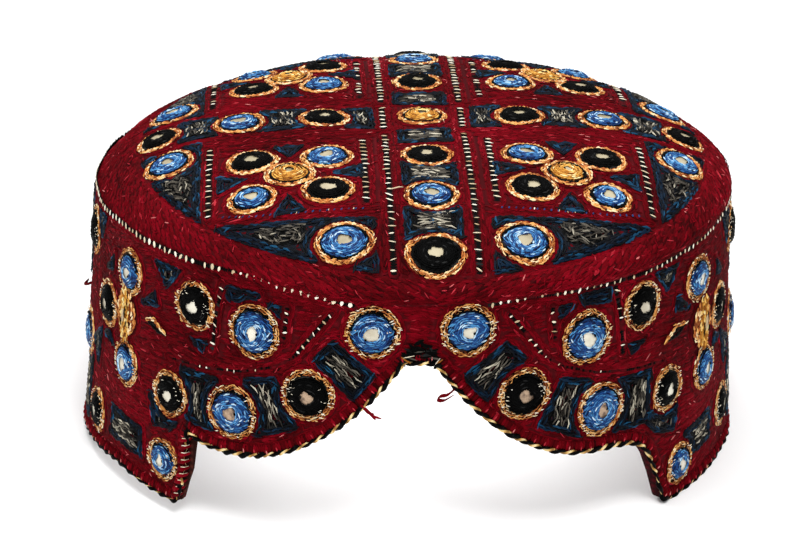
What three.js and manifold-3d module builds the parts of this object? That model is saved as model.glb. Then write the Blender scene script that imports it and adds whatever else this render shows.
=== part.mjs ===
// An embroidered Sindhi cap: a round, shallow-domed crown sewn on an upright side band whose front edge
// is cut into two scallops that meet in a notch over the forehead, between two square flaps.
// Millimetres, +Z up. The front looks along -Y and +X is the viewer's right.
import * as THREE from 'three';
import { mergeVertices } from 'three/addons/utils/BufferGeometryUtils.js';
import Module from 'manifold-3d';

const wasm = await Module();
wasm.setup();

// Driving dimensions
const HEM_RADIUS = 94; // outer face of the band at the surface that the cap stands on
const BAND_TAPER = 3.8; // how much narrower the cap is where crown and band are sewn together
const RIM_RADIUS = HEM_RADIUS - BAND_TAPER;
const RIM_HEIGHT = 75.7;
const LEAN = 2; // how far the hand-sewn rim sits to the viewer's right of the hem
const DOME_HEIGHT = 15; // rise of the crown above the rim
const DOME_POWER = 4.23; // flat middle, round shoulder
const CROWN_WALL = 3; // quilted cloth and thread
const BAND_WALL = 2.2;
const LINING_WALL = 0.8;
const SEAM_GAP = 0.3; // between pieces that are sewn face to face

// Oversewn edging along the hem
const BINDING_HEIGHT = 2.4;
const BINDING_OVERHANG = 0.5; // past the outer face and past the lining
const BINDING_CHAMFER = 0.6;

// The hem. Its pattern and cuts sit a little to the left of the crown's.
const BAND_TURN = -1.1; // degrees
const NOTCH_HEIGHT = 55.5; // flat top of the notch
const NOTCH_HALF_ANGLE = 3.2; // degrees
const NOTCH_LIP = 1.5; // a scallop leaves the notch this far below its flat top
const SCALLOP_LOW = 24; // height of a scallop's lowest stretch
const SCALLOP_FOOT_ANGLE = 35; // degrees, where that stretch starts
const SCALLOP_POWER = 2.35;
const SCALLOP_STEPS = 6;
// From each scallop round the flap's front edge to the side seam: angle in degrees from the notch,
// rise as a share of the scallop's low height. The left flap hangs a little off the surface.
const FLAP_LEFT = [
  { angle: 38, rise: 1.02 },
  { angle: 41.2, rise: 1.1 },
  { angle: 41.5, rise: 0.6 },
  { angle: 43.4, rise: 0.16 },
  { angle: 50.4, rise: 0.18 },
  { angle: 60.4, rise: 0.24 },
  { angle: 71.3, rise: 0.17 },
  { angle: 81.7, rise: 0.06 },
];
const FLAP_RIGHT = [
  { angle: 38.8, rise: 0.95 },
  { angle: 41.5, rise: 0.86 },
  { angle: 43.3, rise: 0.7 },
  { angle: 45.3, rise: 0.4 },
  { angle: 47.2, rise: 0.05 },
  { angle: 49.5, rise: 0 },
  { angle: 60, rise: 0 },
  { angle: 71, rise: 0 },
  { angle: 82, rise: 0 },
];
const BACK_START = 90; // degrees, from here round the back the hem is level
const BACK_STEPS = 24;

// Rosettes: a raised ring of thread that holds a small round mirror
const ROSETTE_RISE = 1.1; // above the ground stitches
const ROSETTE_ROOT = 0.7; // how deep a ring runs into the cloth
const ROSETTE_EDGE = 0.6; // width of its sloping outer edge
const CROWN_ROSETTE = 17; // diameter over the gold outline
const BAND_ROSETTE = 15;
const KNOT = 10; // diameter of a gold knot
const MIRROR_DIAMETER = 6;
const MIRROR_THICKNESS = 0.6;
const MIRROR_SEAT = 0.1; // floor under a mirror, above the ground stitches
const CROWN_SIDES = 8; // corners of a rosette's and a mirror's outline
const BAND_SIDES = 6;

// The crown's pattern, as shares of the rim's radius, to the right (x) and to the front (y) of its centre.
// Its centre sits a little to the right of the crown's own.
const PATTERN_SHIFT = 2.4;
const CROWN_STRIPS = [
  { x: 0, y: 0.339 },
  { x: 0, y: 0.62 },
  { x: 0, y: 0.89 },
  { x: 0.307, y: 0 },
  { x: 0.574, y: 0 },
  { x: 0.829, y: 0 },
];
const CLUSTER = { x: 0.418, y: 0.4446, reach: 0.114 }; // four petals round a knot in each quarter
const SEGMENTS = [
  { x: 0.789, y: 0.228 },
  { x: 0.263, y: 0.82 },
];

// The band's pattern on one half of the front: angle in degrees from the notch, rise as a share of the
// rim's height, size as a share of a band rosette. The back repeats it the other way round.
const BAND_PATTERN = [
  { angle: 7.9, rise: 0.834, size: 1 },
  { angle: 18.4, rise: 0.59, size: 1 },
  { angle: 32.2, rise: 0.473, size: 1 },
  { angle: 46.9, rise: 0.458, size: 0.95 },
  { angle: 29.1, rise: 0.777, size: 1 },
  { angle: 41.1, rise: 0.819, size: 1 },
  { angle: 59, rise: 0.819, size: 0.9 },
  { angle: 59.5, rise: 0.643, size: 0.6 },
  { angle: 60, rise: 0.446, size: 0.9 },
  { angle: 68.5, rise: 0.633, size: 0.9 },
  { angle: 79, rise: 0.851, size: 0.95 },
  { angle: 82, rise: 0.47, size: 0.95 },
  { angle: 71.7, rise: 0.185, size: 0.85 },
];
const FLAP_ROSETTES = [
  { side: -1, angle: 47.2, rise: 0.195, size: 0.8 },
  { side: 1, angle: 52.3, rise: 0.12, size: 0.8 },
];
// Where the back has cloth and the front is cut away
const BACK_PATTERN = [
  { angle: 131, rise: 0.15, size: 0.95 },
  { angle: 145, rise: 0.17, size: 0.95 },
  { angle: 159, rise: 0.19, size: 0.95 },
  { angle: 173, rise: 0.3, size: 0.95 },
];

const CROWN_SEGMENTS = 48;
const DOME_RINGS = [0.5, 0.7, 0.82, 0.92, 1]; // shares of the rim's radius
const CEILING_RINGS = [0.75, 0.965]; // the same for the crown's inside

const COLOURS = {
  crown: 0x8a1230,
  band: 0x821029,
  binding: 0x1c1512,
  lining: 0x2b1715,
  mirror: 0xd9cfb4,
};

const bandTop = RIM_HEIGHT - CROWN_WALL - SEAM_GAP;
const bandDepth = BAND_WALL + SEAM_GAP + LINING_WALL; // from the outer face to the lining's inner face
const radians = THREE.MathUtils.degToRad;

// Surfaces

function domeHeight(radius) {
  const share = Math.min(radius / RIM_RADIUS, 1);
  return RIM_HEIGHT + DOME_HEIGHT * (1 - share ** DOME_POWER);
}

// A point at x, y from the crown's middle, lifted off its outer face along the normal
function crownPoint(x, y, lift = 0) {
  const radius = Math.hypot(x, y);
  const fall = (DOME_HEIGHT * DOME_POWER * (radius / RIM_RADIUS) ** (DOME_POWER - 1)) / RIM_RADIUS;
  const outward = radius ? new THREE.Vector3(x / radius, y / radius, 0) : new THREE.Vector3();
  const normal = outward.multiplyScalar(fall).add(new THREE.Vector3(0, 0, 1)).normalize();
  return new THREE.Vector3(x + LEAN, y, domeHeight(radius)).addScaledVector(normal, lift);
}

// A point on the band at an angle from the front centre and a height, lifted off its outer face
function bandPoint(angle, height, lift = 0) {
  const share = height / RIM_HEIGHT;
  const radius = HEM_RADIUS + (RIM_RADIUS - HEM_RADIUS) * share + lift;
  return new THREE.Vector3(
    radius * Math.sin(radians(angle)) + LEAN * share,
    -radius * Math.cos(radians(angle)),
    height,
  );
}

const crownPatch = (x, y) => (across, up, lift) =>
  crownPoint(x * RIM_RADIUS + PATTERN_SHIFT + across, up - y * RIM_RADIUS, lift);

const bandPatch = (angle, rise) => (across, up, lift) => {
  const turn = THREE.MathUtils.radToDeg(across / HEM_RADIUS);
  return bandPoint(angle + BAND_TURN + turn, rise * RIM_HEIGHT + up, lift);
};

// Meshes

function geometryFrom(points, triangles) {
  const geometry = new THREE.BufferGeometry();
  geometry.setAttribute('position', new THREE.Float32BufferAttribute(points.flatMap((p) => p.toArray()), 3));
  geometry.setIndex(triangles);
  return geometry;
}

function toSolid(geometry) {
  const bare = geometry.clone();
  bare.deleteAttribute('normal');
  bare.deleteAttribute('uv');
  const merged = mergeVertices(bare);
  return new wasm.Manifold(
    new wasm.Mesh({
      numProp: 3,
      vertProperties: new Float32Array(merged.attributes.position.array),
      triVerts: new Uint32Array(merged.index.array),
    }),
  );
}

function fromSolid(solid) {
  const mesh = solid.getMesh();
  const geometry = new THREE.BufferGeometry();
  geometry.setAttribute('position', new THREE.Float32BufferAttribute(mesh.vertProperties, 3));
  geometry.setIndex(Array.from(mesh.triVerts));
  return geometry;
}

// A profile of radius and lift, turned round a spot of a curved surface and closed at both ends
function turnedOn(patch, profile, sides) {
  const points = profile.flatMap(({ radius, lift }) =>
    Array.from({ length: sides }, (_, side) => {
      const turn = (2 * Math.PI * side) / sides;
      return patch(radius * Math.cos(turn), radius * Math.sin(turn), lift);
    }),
  );
  const at = (ring, side) => ring * sides + (side % sides);
  const top = profile.length - 1;
  const triangles = [];
  for (let side = 1; side < sides - 1; side++) {
    triangles.push(at(0, 0), at(0, side + 1), at(0, side));
    triangles.push(at(top, 0), at(top, side), at(top, side + 1));
  }
  for (let ring = 0; ring < top; ring++) {
    for (let side = 0; side < sides; side++) {
      triangles.push(at(ring, side), at(ring, side + 1), at(ring + 1, side + 1));
      triangles.push(at(ring, side), at(ring + 1, side + 1), at(ring + 1, side));
    }
  }
  return geometryFrom(points, triangles);
}

// Closed sections joined one after the other into a closed ring
function loftedRing(sections) {
  const points = sections.flat();
  const size = sections[0].length;
  const at = (section, corner) => (section % sections.length) * size + (corner % size);
  const triangles = [];
  for (let section = 0; section < sections.length; section++) {
    for (let corner = 0; corner < size; corner++) {
      triangles.push(at(section, corner), at(section + 1, corner), at(section + 1, corner + 1));
      triangles.push(at(section, corner), at(section + 1, corner + 1), at(section, corner + 1));
    }
  }
  return geometryFrom(points, triangles);
}

// The hem, once round from the notch to the viewer's right, as angles and heights

function scallopRise(angle) {
  const share = (angle - NOTCH_HALF_ANGLE) / (SCALLOP_FOOT_ANGLE - NOTCH_HALF_ANGLE);
  return SCALLOP_LOW + (NOTCH_HEIGHT - NOTCH_LIP - SCALLOP_LOW) * (1 - share) ** SCALLOP_POWER;
}

function frontHalf(flap) {
  const rows = [{ angle: NOTCH_HALF_ANGLE * 0.8, height: NOTCH_HEIGHT }];
  for (let step = 0; step <= SCALLOP_STEPS; step++) {
    const angle = THREE.MathUtils.lerp(NOTCH_HALF_ANGLE, SCALLOP_FOOT_ANGLE, step / SCALLOP_STEPS);
    rows.push({ angle, height: scallopRise(angle) });
  }
  return rows.concat(flap.map(({ angle, rise }) => ({ angle, height: rise * SCALLOP_LOW })));
}

function hemRows() {
  const rows = frontHalf(FLAP_RIGHT);
  for (let step = 0; step <= BACK_STEPS; step++) {
    rows.push({ angle: BACK_START + ((360 - 2 * BACK_START) * step) / BACK_STEPS, height: 0 });
  }
  const left = frontHalf(FLAP_LEFT).reverse();
  return rows.concat(left.map(({ angle, height }) => ({ angle: 360 - angle, height })));
}

// Each row of the hem moved into the cloth by an inset, square to the edge and mitred at its corners
function hemInset(rows, inset) {
  const arc = radians(1) * HEM_RADIUS;
  const normals = rows.map((row, index) => {
    const next = rows[(index + 1) % rows.length];
    const along = ((((next.angle - row.angle) % 360) + 360) % 360) * arc;
    return new THREE.Vector2(row.height - next.height, along).normalize();
  });
  return rows.map((row, index) => {
    const before = normals.at(index - 1);
    const mitre = normals[index].clone().add(before).divideScalar(1 + normals[index].dot(before));
    return {
      angle: row.angle + BAND_TURN + (inset * mitre.x) / arc,
      height: row.height + inset * mitre.y,
    };
  });
}

// Pieces

const hem = hemRows();
const clothEdge = hemInset(hem, BINDING_HEIGHT + SEAM_GAP);

// One layer of the band, from the hem's edging up to the crown, between two depths under the outer face
function bandLayer(outer, inner) {
  return loftedRing(
    clothEdge.map(({ angle, height }) => [
      bandPoint(angle, height, -outer),
      bandPoint(angle, bandTop, -outer),
      bandPoint(angle, bandTop, -inner),
      bandPoint(angle, height, -inner),
    ]),
  );
}

function rosetteProfile(diameter, hollow, floor) {
  const outer = diameter / 2;
  return [
    { radius: outer, lift: -ROSETTE_ROOT },
    { radius: outer - ROSETTE_EDGE, lift: ROSETTE_RISE },
    { radius: hollow / 2, lift: ROSETTE_RISE },
    { radius: hollow / 2, lift: floor },
  ];
}

function mirrored({ x, y }) {
  const rights = x ? [-1, 1] : [1];
  const fronts = y ? [-1, 1] : [1];
  return rights.flatMap((right) => fronts.map((front) => ({ x: x * right, y: y * front })));
}

function crownRosettes() {
  const petals = [-1, 1].flatMap((right) =>
    [-1, 1].map((front) => ({
      x: CLUSTER.x + right * CLUSTER.reach,
      y: CLUSTER.y + front * CLUSTER.reach,
    })),
  );
  return [{ x: 0, y: 0 }, ...[...CROWN_STRIPS, CLUSTER, ...petals, ...SEGMENTS].flatMap(mirrored)];
}

function isKnot({ x, y }) {
  return Math.abs(x) === CLUSTER.x && Math.abs(y) === CLUSTER.y;
}

function crownShell() {
  const outer = DOME_RINGS.map((share) => [share * RIM_RADIUS, domeHeight(share * RIM_RADIUS)]);
  const ceiling = CEILING_RINGS.map((share) => [
    share * RIM_RADIUS,
    domeHeight(share * RIM_RADIUS) - CROWN_WALL,
  ]);
  const seat = RIM_HEIGHT - CROWN_WALL;
  const inner = CEILING_RINGS.at(-1) * RIM_RADIUS;
  const profile = [
    [0, domeHeight(0) - CROWN_WALL],
    ...ceiling,
    [inner, seat],
    [RIM_RADIUS, seat],
    ...outer.reverse(),
    [0, domeHeight(0)],
  ].map(([radius, height]) => new THREE.Vector2(radius, height));
  const shell = new THREE.LatheGeometry(profile, CROWN_SEGMENTS);
  return shell.rotateX(Math.PI / 2).translate(LEAN, 0, 0);
}

function crownPanel(rosettes) {
  let panel = toSolid(crownShell());
  for (const rosette of rosettes) {
    const diameter = isKnot(rosette) ? KNOT : CROWN_ROSETTE;
    const profile = rosetteProfile(diameter, MIRROR_DIAMETER + 2 * SEAM_GAP, MIRROR_SEAT);
    panel = panel.add(toSolid(turnedOn(crownPatch(rosette.x, rosette.y), profile, CROWN_SIDES)));
  }
  return fromSolid(panel);
}

function crownMirror({ x, y }) {
  const bottom = MIRROR_SEAT + SEAM_GAP;
  const top = bottom + MIRROR_THICKNESS;
  const radius = MIRROR_DIAMETER / 2;
  return turnedOn(crownPatch(x, y), [{ radius, lift: bottom }, { radius, lift: top }], CROWN_SIDES);
}

function bandRosettes() {
  const front = [-1, 1].flatMap((side) =>
    BAND_PATTERN.map(({ angle, rise, size }) => ({ angle: side * angle, rise, size })),
  );
  const flaps = FLAP_ROSETTES.map(({ side, angle, rise, size }) => ({ angle: side * angle, rise, size }));
  const behind = front.map(({ angle, rise, size }) => ({ angle: 180 - angle, rise, size }));
  const low = [-1, 1].flatMap((side) =>
    BACK_PATTERN.map(({ angle, rise, size }) => ({ angle: side * angle, rise, size })),
  );
  return [...front, ...flaps, ...behind, ...low];
}

function sideBand() {
  let band = toSolid(bandLayer(0, BAND_WALL));
  for (const { angle, rise, size } of bandRosettes()) {
    const face = MIRROR_SEAT + SEAM_GAP + MIRROR_THICKNESS;
    const profile = rosetteProfile(BAND_ROSETTE * size, MIRROR_DIAMETER * size, face);
    band = band.add(toSolid(turnedOn(bandPatch(angle, rise), profile, BAND_SIDES)));
  }
  return fromSolid(band);
}

function hemBinding() {
  const corners = [
    { inset: BINDING_CHAMFER, depth: -BINDING_OVERHANG },
    { inset: BINDING_HEIGHT, depth: -BINDING_OVERHANG },
    { inset: BINDING_HEIGHT, depth: bandDepth + BINDING_OVERHANG },
    { inset: BINDING_CHAMFER, depth: bandDepth + BINDING_OVERHANG },
    { inset: 0, depth: bandDepth + BINDING_OVERHANG - BINDING_CHAMFER },
    { inset: 0, depth: BINDING_CHAMFER - BINDING_OVERHANG },
  ];
  const edges = corners.map(({ inset }) => hemInset(hem, inset));
  return loftedRing(
    hem.map((row, index) =>
      corners.map(({ depth }, corner) => {
        const { angle, height } = edges[corner][index];
        return bandPoint(angle, height, -depth);
      }),
    ),
  );
}

function mesh(name, geometry, color, roughness, metalness = 0) {
  const piece = new THREE.Mesh(geometry, new THREE.MeshStandardMaterial({ color, roughness, metalness }));
  piece.name = name;
  return piece;
}

const cap = new THREE.Group();
const rosettes = crownRosettes();
cap.add(mesh('crown_panel', crownPanel(rosettes), COLOURS.crown, 0.9));
cap.add(mesh('side_band', sideBand(), COLOURS.band, 0.9));
cap.add(mesh('band_lining', bandLayer(BAND_WALL + SEAM_GAP, bandDepth), COLOURS.lining, 0.95));
cap.add(mesh('hem_binding', hemBinding(), COLOURS.binding, 0.8));
rosettes.forEach((rosette, index) => {
  cap.add(mesh(`crown_mirror_${index + 1}`, crownMirror(rosette), COLOURS.mirror, 0.1, 0.9));
});

// The origin lies on the standing surface, under the middle of the cap's own box
const box = new THREE.Box3().setFromObject(cap);
const middle = box.getCenter(new THREE.Vector3());
cap.position.set(-middle.x, -middle.y, -box.min.z);

export default cap;
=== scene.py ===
"""An embroidered Sindhi cap: every visible thread is a short raised stitch laid over a cloth shell.

Lengths are millimetres until a mesh is made. The crown is charted flat, seen from above, and the side band is
charted unrolled. Each chart's pattern is a set of distance fields, and the stitches follow their contours.
"""
import math

import bpy
import numpy as np
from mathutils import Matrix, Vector


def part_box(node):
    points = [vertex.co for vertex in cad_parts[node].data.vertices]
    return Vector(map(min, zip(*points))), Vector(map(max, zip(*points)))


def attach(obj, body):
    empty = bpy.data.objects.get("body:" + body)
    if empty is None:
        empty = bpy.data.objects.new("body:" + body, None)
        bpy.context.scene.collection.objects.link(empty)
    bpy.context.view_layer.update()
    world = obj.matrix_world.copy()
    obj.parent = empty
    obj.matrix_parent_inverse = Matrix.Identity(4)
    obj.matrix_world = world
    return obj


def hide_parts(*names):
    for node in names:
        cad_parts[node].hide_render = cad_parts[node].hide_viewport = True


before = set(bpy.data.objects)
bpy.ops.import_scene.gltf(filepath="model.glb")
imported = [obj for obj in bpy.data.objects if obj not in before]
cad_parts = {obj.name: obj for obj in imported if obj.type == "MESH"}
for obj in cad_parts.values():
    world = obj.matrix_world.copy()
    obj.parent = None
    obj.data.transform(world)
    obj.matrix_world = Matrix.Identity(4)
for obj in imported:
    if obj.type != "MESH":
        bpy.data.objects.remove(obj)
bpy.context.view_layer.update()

MM = 0.001
LEAST = 1e-9  # keeps a length of nought out of a division
rng = np.random.default_rng(7)

# The cap's form, as in the solids
LEAN = 2.0
HEM_RADIUS = 94.0
RIM_HEIGHT = 75.7
DOME_HEIGHT = 15.0
DOME_POWER = 4.23
CROWN_WALL = 3.0
BAND_WALL = 2.2
BAND_TURN = -1.1
CHART_RADIUS = 92.0  # the band is unrolled at this radius
BINDING_HEIGHT = 2.4

crown_low, crown_high = (np.array(corner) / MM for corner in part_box("crown_panel"))
RIM_RADIUS = (crown_high[0] - crown_low[0]) / 2
CAP_X = (crown_high[0] + crown_low[0]) / 2 - LEAN
CAP_Y = (crown_high[1] + crown_low[1]) / 2

# Hem: notch, scallops by formula, and the flaps' edges, as in the solids
NOTCH_HEIGHT = 55.5
NOTCH_HALF_ANGLE = 3.2
SCALLOP_START = 54.0
SCALLOP_LOW = 24.0
SCALLOP_FOOT_ANGLE = 35.0
SCALLOP_POWER = 2.35
FLAP_LEFT = [
    (38, 1.02), (41.2, 1.1), (41.5, 0.6), (43.4, 0.16),
    (50.4, 0.18), (60.4, 0.24), (71.3, 0.17), (81.7, 0.06),
]
FLAP_RIGHT = [
    (38.8, 0.95), (41.5, 0.86), (43.3, 0.7), (45.3, 0.4), (47.2, 0.05),
    (49.5, 0), (60, 0), (71, 0), (82, 0),
]

# Threads
GROUND = -0.34  # the cloth lies this far below the solids' surface, and its stitches fill the rest
THREAD = 0.62  # width of a ground stitch
ROW = 0.49  # between rows of the ground
POINTS = 4  # along a stitch
FEW = 3  # along one that lies under others or nearly straight
TAPER = 0.4  # a stitch's width at its ends, as a share of its width in the middle
END_RISE = 0.3  # its height there, likewise
UV_GAP = 0.1  # round a stitch in its cell of the UV map
STITCH_SPREAD = 0.35  # how far a stitch's end strays along its row, as a share of the stitch
ROW_GAP = 0.3  # how far the stitches of a row overlap
LEAST_LINE = 0.6  # no shorter line is sewn
CELL = 0.4  # of the charts' grids

# The crown's form
SHOULDER_DROP = 1.5  # the rim's edge is worn round by this much
SHOULDER_REACH = 11.0
PATTERN_SHIFT = 2.4
BORDER = (80.5, 86)  # half-axes of the inner edge of the crown's padded border
ROLL_WIDTH, ROLL_RISE = 9.0, 0.7
GROOVE_WIDTH, GROOVE_DEPTH = 1.1, 0.4
EDGE_TURN, EDGE_START = 3, 2  # the face turns down over this width, from this far inside the rim

# Smooth noise: its waves, then size and seed for each use
WAVES, WAVE_STRETCH, WAVE_SUM = 5, (0.7, 1.5), 3
UNEVEN = 0.25
CROWN_UNEVEN, BAND_UNEVEN = (24, 3), (30, 5)
CROWN_WANDER, CROWN_WANDERS = 0.35, ((40, 11), (40, 12))
BAND_WANDER, BAND_WANDERS = 0.4, ((40, 21), (40, 22))
GRAIN_WAVES, RED_WAVES = (70, 23), (50, 31)
CORD_TURNS, CORD_LUMPS, WRAP_WAVES = (30, 41), (3.5, 42), (60, 43)

# The crown's pattern on one quarter: shares of the rim's radius, the rosette's radius, thread
CROWN_ROSETTES = [
    (0, 0, 7.0, "gold"),
    (0, 0.339, 7.2, "black"),
    (0, 0.62, 7.4, "blue"),
    (0, 0.885, 8.1, "black"),
    (0.307, 0, 7.2, "black"),
    (0.574, 0, 7.4, "blue"),
    (0.829, 0, 7.1, "black"),
    (0.304, 0.3306, 7.2, "blue"),
    (0.532, 0.5586, 6.9, "blue"),
    (0.532, 0.3306, 7.3, "black"),
    (0.304, 0.5586, 7.2, "black"),
    (0.418, 0.4446, 7.0, "knot"),
    (0.789, 0.228, 7.7, "blue"),
    (0.263, 0.82, 8.0, "blue"),
]
LARGE_ROSETTE = 8.5  # the radius at which a mirror's opening has its full size
BAND_ROSETTE = 7.6
# The band's front: degrees from the notch and share of the rim's height, left and right, then size, thread
BAND_ROSETTES = [
    ((7.9, 0.843), (7.9, 0.85), 0.96, "blue"),
    ((18.4, 0.59), (17.7, 0.59), 0.95, "black"),
    ((32.2, 0.473), (32.2, 0.473), 1, "blue"),
    ((46, 0.458), (48.3, 0.447), 0.87, "black"),
    ((28.4, 0.794), (29.1, 0.757), 1, "blue"),
    ((40.7, 0.83), (41.1, 0.813), 0.9, "black"),
    ((59, 0.839), (57.8, 0.805), 0.87, "blue"),
    ((59.5, 0.671), (59.5, 0.62), 0.78, "knot"),
    ((59.4, 0.48), (60.8, 0.434), 0.87, "blue"),
    ((67.7, 0.649), (68.5, 0.613), 0.88, "black"),
    ((79, 0.851), (79, 0.84), 0.92, "black"),
    ((82, 0.415), (82, 0.46), 0.92, "blue"),
    ((71.7, 0.185), (71.7, 0.185), 0.85, "black"),
]
FLAP_ROSETTES = [(-47.2, 0.195, 0.8, "blue"), (52.3, 0.12, 0.8, "blue")]
BACK_ROSETTES = [
    (131, 0.15, 0.95, "blue"),
    (145, 0.17, 0.95, "black"),
    (159, 0.19, 0.95, "blue"),
    (173, 0.3, 0.95, "black"),
]


def smooth_noise(u, v, size, seed):
    """Smooth waves between -1 and 1 with features of about the given size."""
    turns = np.random.default_rng(seed)
    total = 0
    for _ in range(WAVES):
        angle, phase = turns.uniform(0, 2 * math.pi), turns.uniform(0, 2 * math.pi)
        stretch = turns.uniform(*WAVE_STRETCH)
        across = u * math.cos(angle) + v * math.sin(angle)
        total = total + np.sin(across * 2 * math.pi / (size * stretch) + phase)
    return total / WAVE_SUM


# Surfaces: chart place and lift to millimetres in the frame


def dome_height(radius):
    return RIM_HEIGHT + DOME_HEIGHT * (1 - (np.minimum(radius, RIM_RADIUS) / RIM_RADIUS) ** DOME_POWER)


def dome_fall(radius):
    """How steeply the dome falls at a distance from its middle."""
    return DOME_HEIGHT * DOME_POWER * (radius / RIM_RADIUS) ** (DOME_POWER - 1) / RIM_RADIUS


def border_roll(u, v):
    """The padded border stands up outside its inner edge, along which a groove runs."""
    past = (np.hypot(u / BORDER[0], v / BORDER[1]) - 1) * sum(BORDER) / 2
    roll = ROLL_RISE * np.sin(math.pi * np.clip(past / ROLL_WIDTH, 0, 1))
    return roll - GROOVE_DEPTH * np.exp(-((past / GROOVE_WIDTH) ** 2))


def crown_place(u, v, lift):
    x, y = u + PATTERN_SHIFT, v
    radius = np.hypot(x, y) + LEAST
    over = np.maximum(radius - RIM_RADIUS, 0)
    inside = np.minimum(radius, RIM_RADIUS)
    tip = np.arctan(dome_fall(inside))
    turn = np.clip((radius - RIM_RADIUS + EDGE_START) / EDGE_TURN, 0, 1)
    tip = tip + (math.pi / 2 - tip) * turn * turn * (3 - 2 * turn)
    lift = lift + UNEVEN * smooth_noise(u, v, *CROWN_UNEVEN) + border_roll(u, v)
    out, up = np.sin(tip) * lift, np.cos(tip) * lift
    scale = (inside + out) / radius
    worn_or_dark_reflection = SHOULDER_DROP * np.clip(1 - (RIM_RADIUS - inside) / SHOULDER_REACH, 0, 1) ** 2
    height = dome_height(radius) - over + up - worn_or_dark_reflection
    return np.stack([x * scale + LEAN + CAP_X, y * scale + CAP_Y, height], -1)


def band_place(s, z, lift):
    angle = s / CHART_RADIUS + math.radians(BAND_TURN)
    share = z / RIM_HEIGHT
    uneven = UNEVEN * smooth_noise(s, z, *BAND_UNEVEN)
    radius = HEM_RADIUS + (RIM_RADIUS - HEM_RADIUS) * share + lift + uneven
    x = radius * np.sin(angle) + LEAN * share + CAP_X
    return np.stack([x, -radius * np.cos(angle) + CAP_Y, z + 0 * s], -1)


# Lines: rows of chart points


def distances(line):
    """How far along a line each of its points is."""
    return np.concatenate([[0], np.cumsum(np.hypot(*np.diff(line, axis=0).T))])


def points_at(line, along, marks):
    """The line's points at the given distances."""
    return np.stack([np.interp(marks, along, values) for values in line.T], -1)


def unit(vectors):
    return vectors / (np.linalg.norm(vectors, axis=-1, keepdims=True) + LEAST)


def square_to(vectors):
    """Vectors turned a quarter to the left."""
    return np.stack([-vectors[..., 1], vectors[..., 0]], -1)


def unrolled(places):
    """Degrees round the band and millimetres up, as chart places."""
    return [(a * DEGREE, b) for a, b in places]


# Distance fields: negative inside a shape


def circle(x, y, at, radius):
    return np.hypot(x - at[0], y - at[1]) - radius


def slope_oval(u, v):
    """The heading down the crown's slope at a place, and how much a rosette is drawn in along it."""
    radius = math.hypot(u + PATTERN_SHIFT, v) + LEAST
    return np.array([u + PATTERN_SHIFT, v]) / radius, 1 / (1 + dome_fall(radius) ** 2)


def oval(x, y, at, radius):
    """A circle of the crown drawn in along the slope."""
    heading, squeeze = slope_oval(*at)
    along = ((x - at[0]) * heading[0] + (y - at[1]) * heading[1]) * (1 / squeeze - 1)
    return np.hypot(x - at[0] + along * heading[0], y - at[1] + along * heading[1]) - radius


class Oval:
    """Threads that take stitches drawn in along the slope round a place."""

    def __init__(self, threads, at):
        self.threads, self.at = threads, np.array(at, float)
        self.heading, self.squeeze = slope_oval(*at)

    def add(self, stitches, **sizes):
        along = (np.asarray(stitches) - self.at) @ self.heading * (1 - self.squeeze)
        self.threads.add(stitches - along[..., None] * self.heading, **sizes)


def box(x, y, low, high):
    dx = np.maximum(low[0] - x, x - high[0])
    dy = np.maximum(low[1] - y, y - high[1])
    return np.hypot(np.maximum(dx, 0), np.maximum(dy, 0)) + np.minimum(np.maximum(dx, dy), 0)


def to_line(x, y, points):
    """The distance to a line's nearest piece."""
    nearest = np.full(np.shape(x), np.inf)
    for (ax, ay), (bx, by) in zip(points, points[1:]):
        ex, ey = bx - ax, by - ay
        share = np.clip(((x - ax) * ex + (y - ay) * ey) / (ex * ex + ey * ey), 0, 1)
        nearest = np.minimum(nearest, np.hypot(x - ax - share * ex, y - ay - share * ey))
    return nearest


def polygon(x, y, corners):
    closed = [*corners, corners[0]]
    inside = np.zeros(np.shape(x), bool)
    for (ax, ay), (bx, by) in zip(closed, closed[1:]):
        if ay != by:
            inside ^= ((y < ay) != (y < by)) & (x < ax + (y - ay) * (bx - ax) / (by - ay))
    return to_line(x, y, closed) * np.where(inside, -1, 1)


def union(fields):
    return np.minimum.reduce(fields)


# Contours of a field, traced as lists of points

# The two sides of a grid cell that a contour joins, for each way its corners can lie above the level
JOINED = {
    1: [(3, 0)], 2: [(0, 1)], 3: [(3, 1)], 4: [(1, 2)], 5: [(3, 0), (1, 2)], 6: [(0, 2)], 7: [(3, 2)],
    8: [(2, 3)], 9: [(2, 0)], 10: [(0, 1), (2, 3)], 11: [(2, 1)], 12: [(1, 3)], 13: [(1, 0)], 14: [(0, 3)],
}


def crossed_sides(field, level):
    """Each side that the contour crosses, by number, with those that it goes on to."""
    rows, cols = field.shape
    above = field > level
    code = above[:-1, :-1] + 2 * above[:-1, 1:] + 4 * above[1:, 1:] + 8 * above[1:, :-1]
    j, i = np.nonzero((code > 0) & (code < 15))
    code = code[j, i]
    flat = rows * cols
    sides = np.stack([j * cols + i, flat + j * cols + i + 1, (j + 1) * cols + i, flat + j * cols + i], 1)
    links = {}
    for case, ends in JOINED.items():
        crossed = sides[code == case]
        for a, b in ends:
            for first, second in zip(crossed[:, a].tolist(), crossed[:, b].tolist()):
                links.setdefault(first, []).append(second)
                links.setdefault(second, []).append(first)
    return links


def crossing_points(field, chart, level, keys):
    """Where the contour crosses the numbered sides, on the chart."""
    low, cell = chart
    rows, cols = field.shape
    keys = np.array(keys)
    upright = keys >= rows * cols
    base = np.where(upright, keys - rows * cols, keys)
    y, x = base // cols, base % cols
    y2, x2 = np.where(upright, y + 1, y), np.where(upright, x, x + 1)
    a, b = field[y, x], field[y2, x2]
    share = np.where(a != b, (level - a) / np.where(a != b, b - a, 1), 0.5)
    return np.stack([low[0] + cell * (x + share * (x2 - x)), low[1] + cell * (y + share * (y2 - y))], 1)


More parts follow.
